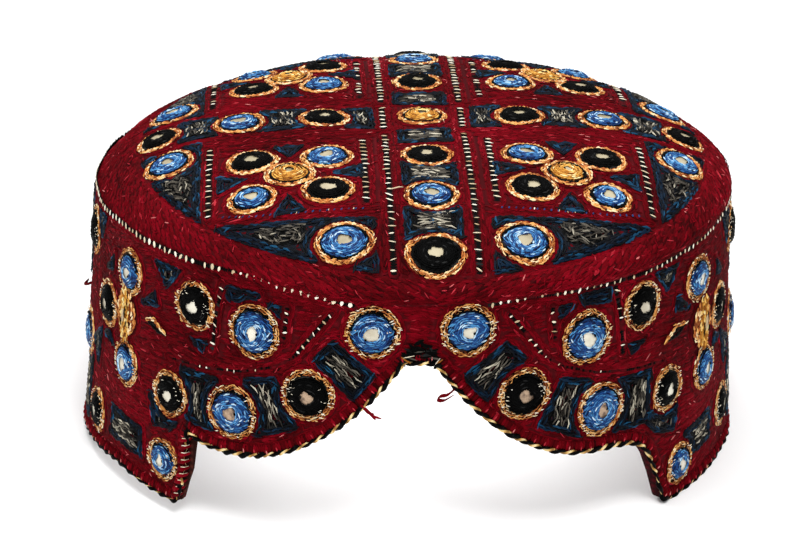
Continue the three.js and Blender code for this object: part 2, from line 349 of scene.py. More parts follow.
def contours(field, chart, level):
    """Marching squares: every line where the field equals the level, as arrays of chart points."""
    links = crossed_sides(field, level)
    lines, seen = [], set()
    for start in [key for key, near in links.items() if len(near) == 1] + list(links):
        if start in seen:
            continue
        path, step = [], start
        while step is not None:
            seen.add(step)
            path.append(step)
            step = next((near for near in links[step] if near not in seen), None)
        if len(path) > 2:
            if len(links[path[-1]]) == 2 and path[0] in links[path[-1]]:
                path.append(path[0])
            lines.append(crossing_points(field, chart, level, path))
    return lines


def sample(field, chart, points):
    """The field's values at chart points."""
    low, cell = chart
    column, row = np.moveaxis(np.rint((points - low) / cell).astype(int), -1, 0)
    return field[np.clip(row, 0, field.shape[0] - 1), np.clip(column, 0, field.shape[1] - 1)]


# Stitches: arrays of short rows of chart points


def cut(line, length, gap=0.0, count=POINTS):
    """Cuts a line into stitches of about the given length, each with a few points."""
    along = distances(line)
    total = along[-1]
    if total < LEAST_LINE:
        return np.zeros((0, count, 2))
    pieces = max(1, int(round(total / length)))
    marks = np.linspace(0, total, pieces + 1)
    marks[1:-1] += rng.uniform(-STITCH_SPREAD, STITCH_SPREAD, pieces - 1) * total / pieces
    first, last = marks[:-1] - gap, marks[1:] + gap
    places = first[:, None] + (last - first)[:, None] * np.linspace(0, 1, count)
    return points_at(line, along, places)


def rows_of_stitches(chart, field, row, length):
    """Stitches along the field's contours, from half a row above its lowest level that counts."""
    found = [np.zeros((0, FEW, 2))]
    for level in np.arange(max(0, field.min()) + row / 2, field.max(), row):
        found += [cut(line, length, ROW_GAP, FEW) for line in contours(field, chart, level)]
    return np.concatenate(found)


def swayed(stitches, amount):
    """Turns each stitch a little, as a hand would."""
    square = square_to(unit(stitches[:, -1] - stitches[:, 0]))[:, None]
    ends = np.linspace(-1, 1, stitches.shape[1])[:, None]
    turn = rng.normal(0, amount, (len(stitches), 1, 1)) * ends
    return stitches + square * (turn + rng.normal(0, amount / 2, (len(stitches), 1, 1)))


def rotated(stitches, turn):
    """Turns each stitch about its middle by its own angle."""
    centre = stitches.mean(1, keepdims=True)
    x, y = np.moveaxis(stitches - centre, -1, 0)
    cos, sin = np.cos(turn)[:, None], np.sin(turn)[:, None]
    return centre + np.stack([x * cos - y * sin, x * sin + y * cos], -1)


LEAN_SPREAD = 0.16  # radians by which leaning stitches differ
LEAST_RUN = 1e-6  # sideways, so that an upright stitch has a tilt


def leaning(stitches, share):
    """Turns stitches a share of the way towards the chart's horizontal, each by a little more or less."""
    x, y = (stitches[:, -1] - stitches[:, 0]).T
    tilt = np.arctan(y / np.where(np.abs(x) < LEAST_RUN, LEAST_RUN, x))
    return rotated(stitches, rng.normal(0, LEAN_SPREAD, len(stitches)) - share * tilt)


class Threads:
    """Collects the stitches of one piece and makes them one mesh."""

    def __init__(self, name, place, material, slot):
        self.name, self.place, self.material, self.slot = name, place, material, slot
        self.vertices, self.shades = [], []

    def add(self, points, width, lift, height, shade=None):
        """Lays stitches along chart points. Lift and height may be one number or one for each point."""
        points = np.asarray(points, float)
        n, m = points.shape[:2]
        if not n:
            return
        ends = np.arange(m) % (m - 1) == 0
        half = np.broadcast_to(width, n)[:, None] / 2 * np.where(ends, TAPER, 1)
        side = square_to(unit(np.gradient(points, axis=1))) * half[..., None]
        low = np.broadcast_to(lift, (n, m)) + GROUND
        high = low + np.broadcast_to(height, (n, m)) * np.where(ends, END_RISE, 1)
        rows = [
            self.place(*np.moveaxis(at, -1, 0), rise)
            for at, rise in ((points + side, low), (points, high), (points - side, low))
        ]
        self.vertices.append(np.stack(rows, 2).reshape(n, m * 3, 3))
        self.shades.append(rng.uniform(0, 1, n) if shade is None else np.broadcast_to(shade, n))

    def make(self):
        """Joins all the stitches in one mesh. Each has a cell of its own in the UV map."""
        side = math.ceil(math.sqrt(sum(map(len, self.shades))))
        faces, uvs, thread = [], [], []
        first = done = 0
        for vertices, shades in zip(self.vertices, self.shades):
            n, per = vertices.shape[:2]
            m = per // 3
            quads = np.arange(m - 1)[:, None, None] * 3 + np.arange(2)[:, None] + np.array([0, 1, 4, 3])
            quads = (quads.reshape(-1, 4) + np.arange(n)[:, None, None] * per).reshape(-1, 4)
            along, across = np.repeat(np.arange(m) / (m - 1), 3), np.tile([-1.0, 0.0, 1.0], m)
            lengths = np.linalg.norm(vertices[:, -2] - vertices[:, 1], axis=1)
            values = np.outer(lengths, along), across, shades[:, None]
            thread.append(np.stack(np.broadcast_arrays(*values), -1).reshape(-1, 3))
            line, column = np.array(np.divmod(done + np.arange(n), side))[..., None]
            u, v = column + UV_GAP + (1 - 2 * UV_GAP) * along, line + 0.5 + (0.5 - UV_GAP) * across
            cell = np.stack([u, v], -1) / side
            uvs.append(cell.reshape(-1, 2)[quads.ravel()])
            faces.append(quads + first)
            first += n * per
            done += n
        vertices = np.concatenate([found.reshape(-1, 3) for found in self.vertices])
        mesh = mesh_from(self.name, vertices, np.concatenate(faces))
        thread_places(mesh, *np.concatenate(thread).T)
        uv = np.concatenate(uvs).astype(np.float32)
        mesh.uv_layers.new(name="OFBake").data.foreach_set("uv", uv.ravel())
        dress(mesh, self.material, self.slot)


def thread_places(mesh, along, across, shade):
    """Each point's place on its thread, in millimetres along it and from -1 to 1 across, and its tone."""
    values = np.stack(np.broadcast_arrays(along, across, shade), -1).astype(np.float32)
    mesh.attributes.new("thread", "FLOAT_VECTOR", "POINT").data.foreach_set("vector", values.ravel())


# Meshes


def mesh_from(name, vertices, faces):
    mesh = bpy.data.meshes.new(name)
    faces = np.asarray(faces)
    mesh.vertices.add(len(vertices))
    mesh.vertices.foreach_set("co", (np.asarray(vertices) * MM).astype(np.float32).ravel())
    mesh.loops.add(faces.size)
    mesh.loops.foreach_set("vertex_index", faces.astype(np.int32).ravel())
    mesh.polygons.add(len(faces))
    mesh.polygons.foreach_set("loop_start", np.arange(0, faces.size, faces.shape[1], dtype=np.int32))
    mesh.polygons.foreach_set("loop_total", np.full(len(faces), faces.shape[1], dtype=np.int32))
    mesh.update(calc_edges=True)
    mesh.shade_smooth()
    return mesh


def dress(mesh, material, slot, replaces=()):
    piece = bpy.data.objects.new(mesh.name, mesh)
    bpy.context.scene.collection.objects.link(piece)
    mesh.materials.append(material)
    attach(piece, "root")
    if replaces:
        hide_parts(*replaces)


def grid_faces(rows, cols, wrap=True):
    """Faces over rows of points, each row closed on itself where they wrap."""
    r, c = np.meshgrid(np.arange(rows - 1), np.arange(cols if wrap else cols - 1), indexing="ij")
    n = (c + 1) % cols
    corners = [(r + 1) * cols + c, (r + 1) * cols + n, r * cols + n, r * cols + c]
    return np.stack(corners, -1).reshape(-1, 4)


def surface(name, rows, wrap=True, turned=False):
    """A mesh over rows of points. A turned one faces the other way."""
    rows = np.array(rows)
    faces = grid_faces(*rows.shape[:2], wrap)
    return mesh_from(name, rows.reshape(-1, 3), faces[:, ::-1] if turned else faces)


# Materials


def new_material(name, **settings):
    """A material whose shader has these inputs, with underscores for spaces in their names."""
    material = bpy.data.materials.new(name)
    material.use_nodes = True
    shader = material.node_tree.nodes["Principled BSDF"]
    for key, value in settings.items():
        shader.inputs[key.replace("_", " ")].default_value = value
    return material, material.node_tree, shader


def srgb(r, g, b):
    return tuple((c / 255) ** 2.2 for c in (r, g, b)) + (1,)


def add_node(tree, kind, inputs, **settings):
    """A shader node with its settings. Its inputs are values, or other nodes' outputs to link."""
    node = tree.nodes.new("ShaderNode" + kind)
    for key, value in settings.items():
        setattr(node, key, value)
    for key, value in inputs.items():
        if isinstance(value, bpy.types.NodeSocket):
            tree.links.new(value, node.inputs[key])
        else:
            node.inputs[key].default_value = value
    return node


def toned(tree, source, tones):
    """A colour for each value from 0 to 1: tones are places on that scale with their colours."""
    ramp = add_node(tree, "ValToRGB", {0: source})
    elements = ramp.color_ramp.elements
    elements.remove(elements[1])
    elements[0].position, elements[0].color = tones[0][0], srgb(*tones[0][1:])
    for place, *colour in tones[1:]:
        elements.new(place).color = srgb(*colour)
    return ramp.outputs[0]


def bump_from(tree, height, strength):
    bump = add_node(tree, "Bump", {"Strength": strength, "Distance": 0.1 * MM, "Height": height})
    tree.links.new(bump.outputs[0], tree.nodes["Principled BSDF"].inputs["Normal"])


# A thread's fibres and plies: scales along it, across it and by its tone, and the plies' turn
FIBRES, PLIES, PLY_TURN = (1.3, 2.2, 37.0), (1.0, 0.5, 0.0), (0, 0, 0.6)


def thread_material(name, *tones, roughness, gloss, fibres=0.3, twist=0.35):
    """Spun thread: each stitch has its own tone, fine fibres run along it and its ply is twisted."""
    material, tree, shader = new_material(name, Roughness=roughness, Specular_IOR_Level=gloss)
    thread = add_node(tree, "Attribute", {}, attribute_name="thread").outputs["Vector"]
    tone = add_node(tree, "SeparateXYZ", {0: thread}).outputs[2]
    strands = add_node(tree, "Mapping", {0: thread, "Scale": FIBRES}).outputs[0]
    fibre = add_node(tree, "TexNoise", {"Scale": 1.6, "Detail": 2, "Vector": strands})
    shade = add_node(
        tree, "MapRange", {"To Min": 1 - fibres, "To Max": 1 + fibres, "Value": fibre.outputs["Fac"]}
    )
    scaled = {0: toned(tree, tone, tones), "Scale": shade.outputs[0]}
    tint = add_node(tree, "VectorMath", scaled, operation="SCALE")
    tree.links.new(tint.outputs[0], shader.inputs["Base Color"])
    plies = add_node(tree, "Mapping", {0: thread, "Scale": PLIES, "Rotation": PLY_TURN})
    wave = add_node(tree, "TexWave", {"Scale": 0.9, "Distortion": 1.0, "Vector": plies.outputs[0]})
    bump_from(tree, wave.outputs["Fac"], twist)
    return material


WEAVE_SCALE = 1000 / 6.6  # of the waves, which come out about 2 mm apart


def cloth_material(name, dark, light):
    """Plain woven cotton."""
    material, tree, shader = new_material(name, Roughness=0.9, Specular_IOR_Level=0.1)
    place = add_node(tree, "TexCoord", {}).outputs["Object"]
    inputs = {"Scale": WEAVE_SCALE, "Distortion": 1.5, "Vector": place}
    checks = [add_node(tree, "TexWave", inputs, bands_direction=way).outputs["Fac"] for way in ("X", "Z")]
    both = add_node(tree, "Math", {0: checks[0], 1: checks[1]}, operation="MULTIPLY").outputs[0]
    tree.links.new(toned(tree, both, [(0, *dark), (1, *light)]), shader.inputs["Base Color"])
    bump_from(tree, both, 0.4)
    return material


def mirror_material(name, dark, light, grain=160):
    """Old mirror glass, clouded and a little scratched. Its colour is painted reflection, from the dark tone
    to the light one.
    """
    material, tree, shader = new_material(name, Roughness=0.4, Specular_IOR_Level=0.25)
    place = add_node(tree, "TexCoord", {}).outputs["Object"]
    noise = add_node(tree, "TexNoise", {"Scale": grain, "Vector": place}).outputs["Fac"]
    tree.links.new(toned(tree, noise, [(0.35, *dark), (0.6, *light)]), shader.inputs["Base Color"])
    return material


# Each thread's tones are places on a scale from dark to light, with their colours from 0 to 255
# The crimson's pink top tones, past 0.95, are reached only by painted highlights: the ground's glints and the
# hem's bright strands.
RED = thread_material(
    "crimson_thread",
    (0, 46, 2, 8), (0.4, 93, 4, 17), (0.8, 125, 9, 27), (0.96, 190, 56, 66), (1, 222, 132, 128),
    roughness=0.7, gloss=0.035, fibres=0.85, twist=0.6,
)
TEAL = thread_material(
    "teal_thread",
    (0, 2, 6, 11), (0.55, 4, 17, 29), (0.9, 10, 40, 62), (1, 24, 76, 108),
    roughness=0.5, gloss=0.1,
)
OLIVE = thread_material(
    "olive_thread",
    (0, 18, 18, 16), (0.35, 54, 50, 45), (0.75, 104, 98, 88), (1, 206, 198, 176),
    roughness=0.5, gloss=0.1,
)
BLUE = thread_material(
    "blue_thread",
    (0, 8, 20, 56), (0.35, 26, 72, 134), (0.7, 82, 150, 204), (1, 196, 226, 246),
    roughness=0.42, gloss=0.15,
)
BLACK = thread_material(
    "black_thread",
    (0, 1, 1, 1), (0.85, 6, 6, 6), (1, 40, 40, 40),
    roughness=0.5, gloss=0.04,
)
GOLD = thread_material(
    "gold_thread",
    (0, 98, 40, 18), (0.35, 190, 110, 54), (0.75, 236, 174, 98), (1, 255, 236, 190),
    roughness=0.45, gloss=0.12,
)
KNOT = thread_material(
    "knot_thread",
    (0, 112, 58, 14), (0.35, 196, 128, 44), (0.7, 236, 182, 88), (1, 252, 236, 170),
    roughness=0.45, gloss=0.12,
)
STRAW = thread_material(
    "straw_thread",
    (0, 104, 70, 34), (0.5, 206, 162, 94), (1, 250, 230, 172),
    roughness=0.5, gloss=0.12,
)
CREAM = thread_material(
    "cream_thread",
    (0, 176, 146, 108), (0.4, 232, 216, 184), (1, 252, 246, 230),
    roughness=0.5, gloss=0.15,
)
GROUND_CLOTH = cloth_material("ground_cloth", (66, 3, 13), (92, 5, 20))
EDGE_CLOTH = cloth_material("edge_cloth", (40, 5, 11), (76, 9, 21))
LINING = cloth_material("lining_cotton", (42, 20, 16), (78, 40, 32))
# The mirrors are flat colours: what each set reflects is painted in, paler on the band than on the crown.
MIRROR = mirror_material("mirror_glass", (158, 146, 118), (190, 178, 148))
BAND_MIRROR = mirror_material("mirror_glass_painted_bright_reflection", (190, 180, 158), (232, 226, 208))
# Brown, mottled painted reflection of dark surroundings, for the band's low front mirrors
DARK_REFLECTION_MIRROR = mirror_material("mirror_glass_painted_dark_reflection", (58, 40, 34), (178, 150, 124), grain=520)


# The patterns


def mirrored(places):
    """Places on one quarter of a chart, as places on all four."""
    return [
        (sx * x, sy * y, *rest)
        for x, y, *rest in places
        for sx in ((-1, 1) if x else (1,))
        for sy in ((-1, 1) if y else (1,))
    ]


CHARTED_RADIUS = 90.2  # of the rim, on the chart that the cluster was measured from
CLUSTER = (0.418 * CHARTED_RADIUS, 0.4446 * CHARTED_RADIUS)  # the knot between four rosettes
STRIP_PATCHES = [
    ((-1, 10.5), (7.8, 20.5)),
    ((-1, 36), (7.8, 50.4)),
    ((-1, 61.4), (7.8, 74.8)),
    ((13.8, -1), (22.4, 8.2)),
    ((33.2, -1), (46.3, 8.2)),
    ((57.3, -1), (69.3, 8.2)),
]
FRONT_SEGMENT = [(15.2, 66), (36, 63.2), (48, 61.2), (60, 57.5), (60, 90), (15.2, 90)]
SIDE_SEGMENT = [(62.2, 12), (90, 12), (90, 58), (62.2, 58)]
SEGMENT_OLIVE = [
    [(33.5, 65.2), (34.2, 72.4), (41.5, 71.4), (49.2, 64.6), (41, 63.8)],
    [(66, 28.5), (74, 30), (72.4, 36), (66, 45.4), (64.4, 36)],
]
DART_FAR, DART_NEAR, DART_HALF = 19.8, 10.8, 4.5
BORDER_SLANT = 0.3  # radians between the border's stitches and its edge
STRIP_EDGE = 11.2
CROWN_LADDERS = [
    [(STRIP_EDGE, 0), (STRIP_EDGE, 8)],
    [(STRIP_EDGE, 13), (STRIP_EDGE, 85)],
    [(17.4, 17), (17.4, 58.5)],
    [(59.8, 17), (59.8, 53.5)],
]
LADDER_HALF = 1.0
INLAY_SIDE, INLAY_END = 0.5, 1.9
BRAID_ROW, BRAID_END, BRAID_SIDE = 1.5, 1.8, 1.8
PALE_STRAND = [(-7.4, -53.0), (-8.6, -52.9), (-9.8, -53.4), (-11, -53.6)]
FAINT_ROW = [(17.5, 61.4), (36, 60.2), (48, 58.4), (56.5, 55.2)]
CROWN_OVERLAP = 2.5  # how far the crown's stitches reach down over its rim
# How far a rosette keeps off the red ground, the teal and the olive, on the crown and on the band
CROWN_GAPS = (0.05, 1.1, 1.7)
BAND_GAPS = (0.05, 1.0, 2.6)


def crown_darts():
    """The small triangles that point at a cluster's knot from four sides."""
    found = []
    for dx, dy in ((0, -1), (0, 1), (-1, 0), (1, 0)):
        base = (CLUSTER[0] + dx * DART_FAR, CLUSTER[1] + dy * DART_FAR)
        ends = [(base[0] + side * dy * DART_HALF, base[1] + side * dx * DART_HALF) for side in (-1, 1)]
        found.append([*ends, (CLUSTER[0] + dx * DART_NEAR, CLUSTER[1] + dy * DART_NEAR)])
    return found


def strip_inlay(patch):
    """The olive middle of a strip's patch, which leaves most of its teal at the two ends."""
    (west, south), (east, north) = patch
    if west < 0:
        return (west, south + INLAY_SIDE), (east - INLAY_END, north - INLAY_SIDE)
    return (west + INLAY_SIDE, south), (east - INLAY_SIDE, north - INLAY_END)


def crown_fields():
    """The crown's distance fields: the red ground, the way its rows run, the teal and the olive in it."""
    reach = RIM_RADIUS + 5
    low = (-reach - PATTERN_SHIFT, -reach)
    u, v = np.meshgrid(np.arange(low[0], reach - PATTERN_SHIFT + 2, CELL), np.arange(low[1], reach, CELL))
    edge = RIM_RADIUS + CROWN_OVERLAP - np.hypot(u + PATTERN_SHIFT, v)
    x, y = (np.abs(a + CROWN_WANDER * smooth_noise(u, v, *wave)) for a, wave in zip((u, v), CROWN_WANDERS))
    rosettes = union([oval(u, v, (a, b), radius) for a, b, radius, _ in crown_rosettes()])
    off_red, off_teal, off_olive = (rosettes - gap for gap in CROWN_GAPS)
    border = (1 - np.hypot(x / BORDER[0], y / BORDER[1])) * sum(BORDER) / 2
    strips = -union([box(x, y, *corners) for corners in STRIP_PATCHES])
    segments = [np.maximum(polygon(x, y, shape), -border) for shape in (FRONT_SEGMENT, SIDE_SEGMENT)]
    darts = [polygon(x, y, shape) for shape in crown_darts()]
    teal = np.minimum(np.maximum(strips, -union(segments + darts)), off_teal)
    inlays = -union([polygon(x, y, shape) for shape in SEGMENT_OLIVE])
    inner = -union([box(x, y, *strip_inlay(patch)) for patch in STRIP_PATCHES])
    olive = np.maximum(np.minimum(inner, off_olive), inlays)
    lines = union([to_line(x, y, line) - LADDER_HALF for line in CROWN_LADDERS])
    ground = union([off_red, -teal, lines, edge, np.abs(border) + 0.1])
    grain = np.where(border < 0, border, np.where(x < STRIP_EDGE, u, v)) + 100
    slant = np.where(border < 0, BORDER_SLANT * np.sign(u), 0)
    return (low, CELL), ground, grain, slant, np.minimum(teal, edge), np.minimum(olive, teal - 0.3), -strips


def braid(middle, heading, reach, spread):
    """Lines that run along a patch from end to end and draw together a little in its middle."""
    share = np.linspace(-1, 1, 9)
    found = []
    for row in np.linspace(-spread, spread, max(2, round(2 * spread / BRAID_ROW) + 1)):
        wave = 0.4 * np.sin(share * rng.uniform(2, 5) + rng.uniform(0, 2 * math.pi))
        aside = row * (0.7 + 0.3 * share**2) + wave
        start = rng.uniform(0, 0.8) * heading
        found.append(middle + start + share[:, None] * reach * heading + aside[:, None] * square_to(heading))
    return found


def crown_braids():
    found = []
    for (west, south), (east, north) in STRIP_PATCHES:
        ahead = west < 0
        along, (near, far) = (east, (south, north)) if ahead else (north, (west, east))
        heading = np.array((1.0, 0) if ahead else (0, 1.0))
        for side in (-1, 1):
            middle = side * (near + far) / 2 * heading[::-1]
            found += braid(middle, heading, along - BRAID_END, (far - near) / 2 - BRAID_SIDE)
    return found


def band_braids():
    found = []
    for corners in BRAIDED_BOWS:
        for placed in quarters(corners):
            first, second, third, fourth = np.array(placed)
            along, across = second + third - first - fourth, third + fourth - first - second
            if np.hypot(*along) < np.hypot(*across):
                along, across = across, along
            reach, spread = np.hypot(*along) / 4 - BRAID_END, np.hypot(*across) / 4 - BRAID_SIDE
            found += braid(np.mean(placed, 0), along / np.hypot(*along), reach, spread)
    return found


def crown_rosettes():
    return mirrored((a * RIM_RADIUS, b * RIM_RADIUS, *rest) for a, b, *rest in CROWN_ROSETTES)


# Lines of stitches

HEADING_STEP = 0.1  # to either side of a place, between which its direction is taken
BLACK_STEP = 0.75  # between a ladder's black stitches
LINK_BOW = (0.1, 0.85, 0.6)  # how far the points of a chain's strand stand aside, in half widths
ARC_POINTS = 8  # for each radian


def walk(line, step):
    """Even steps along a line: places and directions."""
    line = np.array(line, float)
    along = distances(line)
    marks = np.arange(step / 2, along[-1], step)
    ahead, behind = (points_at(line, along, marks + way) for way in (HEADING_STEP, -HEADING_STEP))
    return points_at(line, along, marks), unit(ahead - behind)


def bars(at, direction, half, slant, count=POINTS):
    """A stitch across the walking direction at each place."""
    normal = square_to(direction) + slant * direction
    return at[:, None] + normal[:, None] * half * np.linspace(-1, 1, count)[:, None]


def ladder(stock, line, pitch=2.9, half=LADDER_HALF, cream=0.4, keep=1.0, dark=1.0):
    """A narrow line of black stitches with cream ones across it. Shares of both kinds may be worn away."""
    at, direction = walk(line, BLACK_STEP)
    shown = rng.uniform(size=len(at)) < dark
    size = half * rng.uniform(0.8, 1.05, (shown.sum(), 1, 1))
    black = bars(at[shown], direction[shown], size, 0.1, FEW)
    stock["black"].add(black, width=0.95, lift=0, height=0.35)
    at, direction = walk(line, pitch)
    shown = rng.uniform(size=len(at)) < keep
    count = shown.sum()
    at = at[shown] + rng.normal(0, 0.12, (count, 2))
    size = half * rng.uniform(0.6, 1.1, (count, 1, 1))
    width = cream * rng.uniform(0.6, 1.25, count)
    slant = rng.normal(0.15, 0.25, (count, 1))
    stock["cream"].add(bars(at, direction[shown], size, slant), width=width, lift=0.3, height=0.22)


def chain(threads, line, step, width, thickness, lift, height, missing=0.05, inside=None):
    """Chain stitch: each link is a pair of bowed strands, slanted to either side of the line."""
    at, direction = walk(line, step)
    normal = square_to(direction)
    share = np.linspace(-0.5, 0.5, FEW)
    for side in (-1, 1):
        shown = rng.uniform(size=len(at)) > missing
        n = shown.sum()
        bow = np.array(LINK_BOW) * rng.uniform(0.7, 1.2, (n, 1))
        reach = step * rng.uniform(1.3, 1.9, (n, 1)) * share
        sway = rng.normal(0, 0.16, (n, 1)) * share * 2 + rng.normal(0, 0.09, (n, 1))
        points = at[shown, None] + direction[shown, None] * reach[..., None]
        points = points + normal[shown, None] * (side * width / 2 * bow + sway)[..., None]
        each, tone = thickness * rng.uniform(0.7, 1.25, n), rng.beta(0.8, 0.8, n)
        rise = lift + rng.uniform(-0.1, 0.16, (n, 1))
        kept = inside(points) if inside else slice(None)
        threads.add(points[kept], width=each[kept], lift=rise[kept], height=height, shade=tone[kept])


def about(at, radius, angle):
    """Points round a place, at radii and angles."""
    return at + np.stack([radius * np.cos(angle), radius * np.sin(angle)], -1)


def arc(at, radius, start=0.0, turn=2 * math.pi, wobble=0.0):
    """Points of a slightly uneven circle; the radius may be a function of the angle."""
    angle = np.linspace(start, start + turn, int(turn * ARC_POINTS))
    reach = radius(angle) if callable(radius) else radius
    reach = reach + wobble * np.sin(3 * angle + at[0]) + 0.6 * wobble * np.sin(5 * angle + at[1])
    return about(at, reach, angle)


def spokes(at, outer, inner, count, slant):
    """Radial stitches from an outer radius in to an uneven inner one."""
    angle = np.arange(count) * 2 * math.pi / count + rng.normal(0, 0.3 / count, count)
    share = np.linspace(0, 1, POINTS)
    start = outer + rng.normal(0, 0.12, (count, 1))
    radius = start + (inner(angle)[:, None] + rng.normal(0, 0.15, (count, 1)) - start) * share
    return about(at, radius, angle[:, None] + slant * share)


# Rosettes

# How they are sewn on the crown
ON_CROWN = {
    "rim": 1.32,  # width of the ring of gold chain
    "chains": (0.85, 0.75),  # widths of its outer and its inner row
    "strand": 0.4,  # thickness of their strands
    "missing": 0.12,  # share of the strands that is left out
    "outline": 0.75,  # width of the dark line inside the ring
    "outline_thread": 1.4,
    "hole": (2.0, 2.35),  # radius of the hole over the mirror
    "shift": 0.55,  # of the hole, down the chart
    "lean": 0.2,  # of the fill's stitches towards the horizontal
    "shade": 0.9,  # width of the black arc of painted shade by the hole
}
# And on the band
ON_BAND = {
    "rim": 1.5,
    "chains": (0.85, 0.9),
    "strand": 0.31,
    "missing": 0.16,
    "outline": 0.2,
    "outline_thread": 1,
    "hole": (1.85, 2.3),
    "shift": 0.2,
    "lean": 0.5,
    "shade": 0.5,
}
CENTRE_HOLE = (1.1, 1.4)  # radius of the hole of those in gold thread
# width of the arcs of painted shade over those in gold thread
CENTRE_SHADE = 0.5
LEAST_HOLE = 0.8  # of the full hole, in the smallest rosettes
CHAIN_INSET = 0.35  # from the ring's edges to the rows of chain
HOLE_WAVES = (2, 3, 4)  # round a hole's edge
HOLE_DEPTHS = (0.06, 0.04, 0.02), (0.22, 0.14, 0.1)  # their least and greatest, as shares of its radius
SHADES = (0.98,)  # the places of the black arc of painted shade, as a share of the way out
# and the places of the three arcs of painted shade over those in gold thread
CENTRE_SHADES = (0.9, 0.62, 0.35)
SPOKE_PITCH = 0.62
SPOKE_LIFT = (0.25, 1.1, 1.6, 1.65)
FILL_ROW = 0.52  # between the turned rows over the padding
FILL_STITCH = 1.35
RING_LIFT = (0, 0.3, 0.7, 1), (1.6, 1.7, 1.2, 0.55)  # share of the way out from the mirror, and lift
# The shares of a radius between which the bright strands of painted highlight lie, over the fill and over the
# ring
FILL_REACH, RING_REACH = (0.72, 1.08), (0.84, 1.02)
# Chains of the band's knot: how far aside at their middles, and half their length
KNOT_LINES = [(-4.7, 4.8), (-3.2, 6.2), (-1.6, 7.4), (0, 7.8), (1.6, 7.4), (3.2, 6), (4.7, 4.4)]
KNOT_MIDDLE = 3  # the lines nearer than this are of the brighter thread
KNOT_SLITS = [(-0.7, -3.4, -0.6), (0.8, -0.4, 3.2), (2.1, -3, -1)]  # aside, from, to


def opening(size, shift=0.0):
    """The uneven hole that the threads leave over a mirror, shifted down the chart."""
    phases = rng.uniform(0, 2 * math.pi, 3)
    depths = rng.uniform(*HOLE_DEPTHS)

    def radius(angle):
        waves = sum(d * np.cos(k * angle + p) for k, d, p in zip(HOLE_WAVES, depths, phases))
        return size * (1 + waves) - shift * np.sin(angle)

    return radius


def sew_ring(stock, style, at, radius):
    """Two rows of gold chain on their dark ground, and the dark outline inside them."""
    black, rim = stock["black"], style["rim"]
    ground = cut(arc(at, radius - rim / 2 + 0.15), 2.5, gap=0.4, count=FEW)
    black.add(ground, width=rim + 0.6, lift=-0.15, height=0.3)
    outline = cut(arc(at, radius - rim - style["outline"] + 0.1), 2, gap=0.3, count=FEW)
    black.add(outline, width=style["outline_thread"], lift=0.4, height=0.4)
    sizes = {"thickness": style["strand"], "missing": style["missing"]}
    for inset, width in zip((CHAIN_INSET, rim - CHAIN_INSET), style["chains"]):
        ring = arc(at, radius - inset, wobble=0.12)
        chain(stock["gold"], ring, step=1.05, width=width, lift=0.35, height=0.4, **sizes)


def fill_round(threads, at, outer, hole, lean):
    """The padded ring of thread round a mirror: dark spokes at its foot and turned rows over its crest."""
    slant = rng.uniform(0.1, 0.5) * rng.choice([-1, 1])
    count = int(2 * math.pi * outer / SPOKE_PITCH)
    foot = spokes(at, outer, lambda a: hole(a) + 0.1, count, slant)
    threads.add(foot, width=0.8, lift=SPOKE_LIFT, height=0.2, shade=rng.uniform(0, 0.3, count))
    reach = outer - hole(0)
    for share in np.arange(FILL_ROW * 0.6, reach, FILL_ROW) / reach:
        row = arc(at, lambda a, s=share: hole(a) + s * (outer - hole(a)), rng.uniform(0, 2 * math.pi))
        stitches = leaning(cut(row, FILL_STITCH, gap=0.12, count=FEW), lean * share)
        tone = np.clip(0.64 - 0.3 * share + rng.normal(0, 0.28, len(stitches)), 0, 1)
        width, lift = rng.uniform(0.36, 0.56, len(stitches)), np.interp(share, *RING_LIFT) + 0.05
        threads.add(stitches, width=width, lift=lift, height=0.3, shade=tone)


def shade_hole(black, at, outer, hole, places, width):
    """Black arcs of painted shade over the fill at the given places, centred on its upper side, and a short
    stitch at the hole's edge.
    """
    for share in places:
        turn = rng.uniform(1.8, 3.0)
        # each arc is centred on the rosette's upper side: painted shade
        start = math.pi / 2 - turn / 2 + rng.normal(0, 0.3)
        shade = arc(at, outer - (outer - hole(0)) * (1 - share), start, turn)
        black.add(cut(shade, 1.5, gap=0.3), width=width, lift=1.95 - share, height=0.4)
    side = math.pi * rng.integers(0, 2) + rng.normal(0, 0.4)
    sweep = np.linspace(-0.4, 0.4, POINTS)[:, None] * (-math.sin(side), math.cos(side))
    black.add([about(at, hole(side) - 0.1, side) + sweep], width=0.7, lift=1.75, height=0.25)


def rosette(stock, style, at, radius, kind):
    """A mirror's rosette: the ring of gold chain, the thread fill and the painted shade on it."""
    at = np.array(at, float)
    outer = radius - style["rim"] - style["outline"]
    size = rng.uniform(*style["hole"]) * max(radius / LARGE_ROSETTE, LEAST_HOLE)
    if kind in ("gold", "knot"):
        hole, kind = opening(rng.uniform(*CENTRE_HOLE)), "knot"
        shades, width = CENTRE_SHADES, CENTRE_SHADE
    else:
        hole = opening(size, style["shift"])
        shades, width = SHADES, style["shade"]
    sew_ring(stock, style, at, radius)
    fill_round(stock[kind], at, outer, hole, style["lean"])
    shade_hole(stock["black"], at, outer, hole, shades, width)


def sew_knot(stock, at):
    """The band's knot: gold chains from the ring above it to the one below, with a pale slit."""
    share = np.linspace(-1, 1, 9)
    for aside, arm in KNOT_LINES:
        line = at + np.stack([aside * (1 - 0.4 * share**2), arm * share], 1)
        threads = stock["knot"] if abs(aside) < KNOT_MIDDLE else stock["gold"]
        lift = 1.3 - 0.15 * abs(aside)
        chain(threads, line, step=1.15, width=1.6, thickness=0.5, lift=lift, height=0.45, missing=0.1)
    for aside, low, high in KNOT_SLITS:
        slit = np.linspace(low, high, POINTS)[:, None] * (0.12, 1) + at + (aside, 0)
        stock["black"].add([slit], width=0.45, lift=1.75, height=0.3)
    pale = np.linspace(-2, 2, POINTS)[:, None] * (0.1, 1) + at
    stock["cream"].add([pale, pale + (0.5, 0.2)], width=0.5, lift=1.8, height=0.35, shade=0.1)


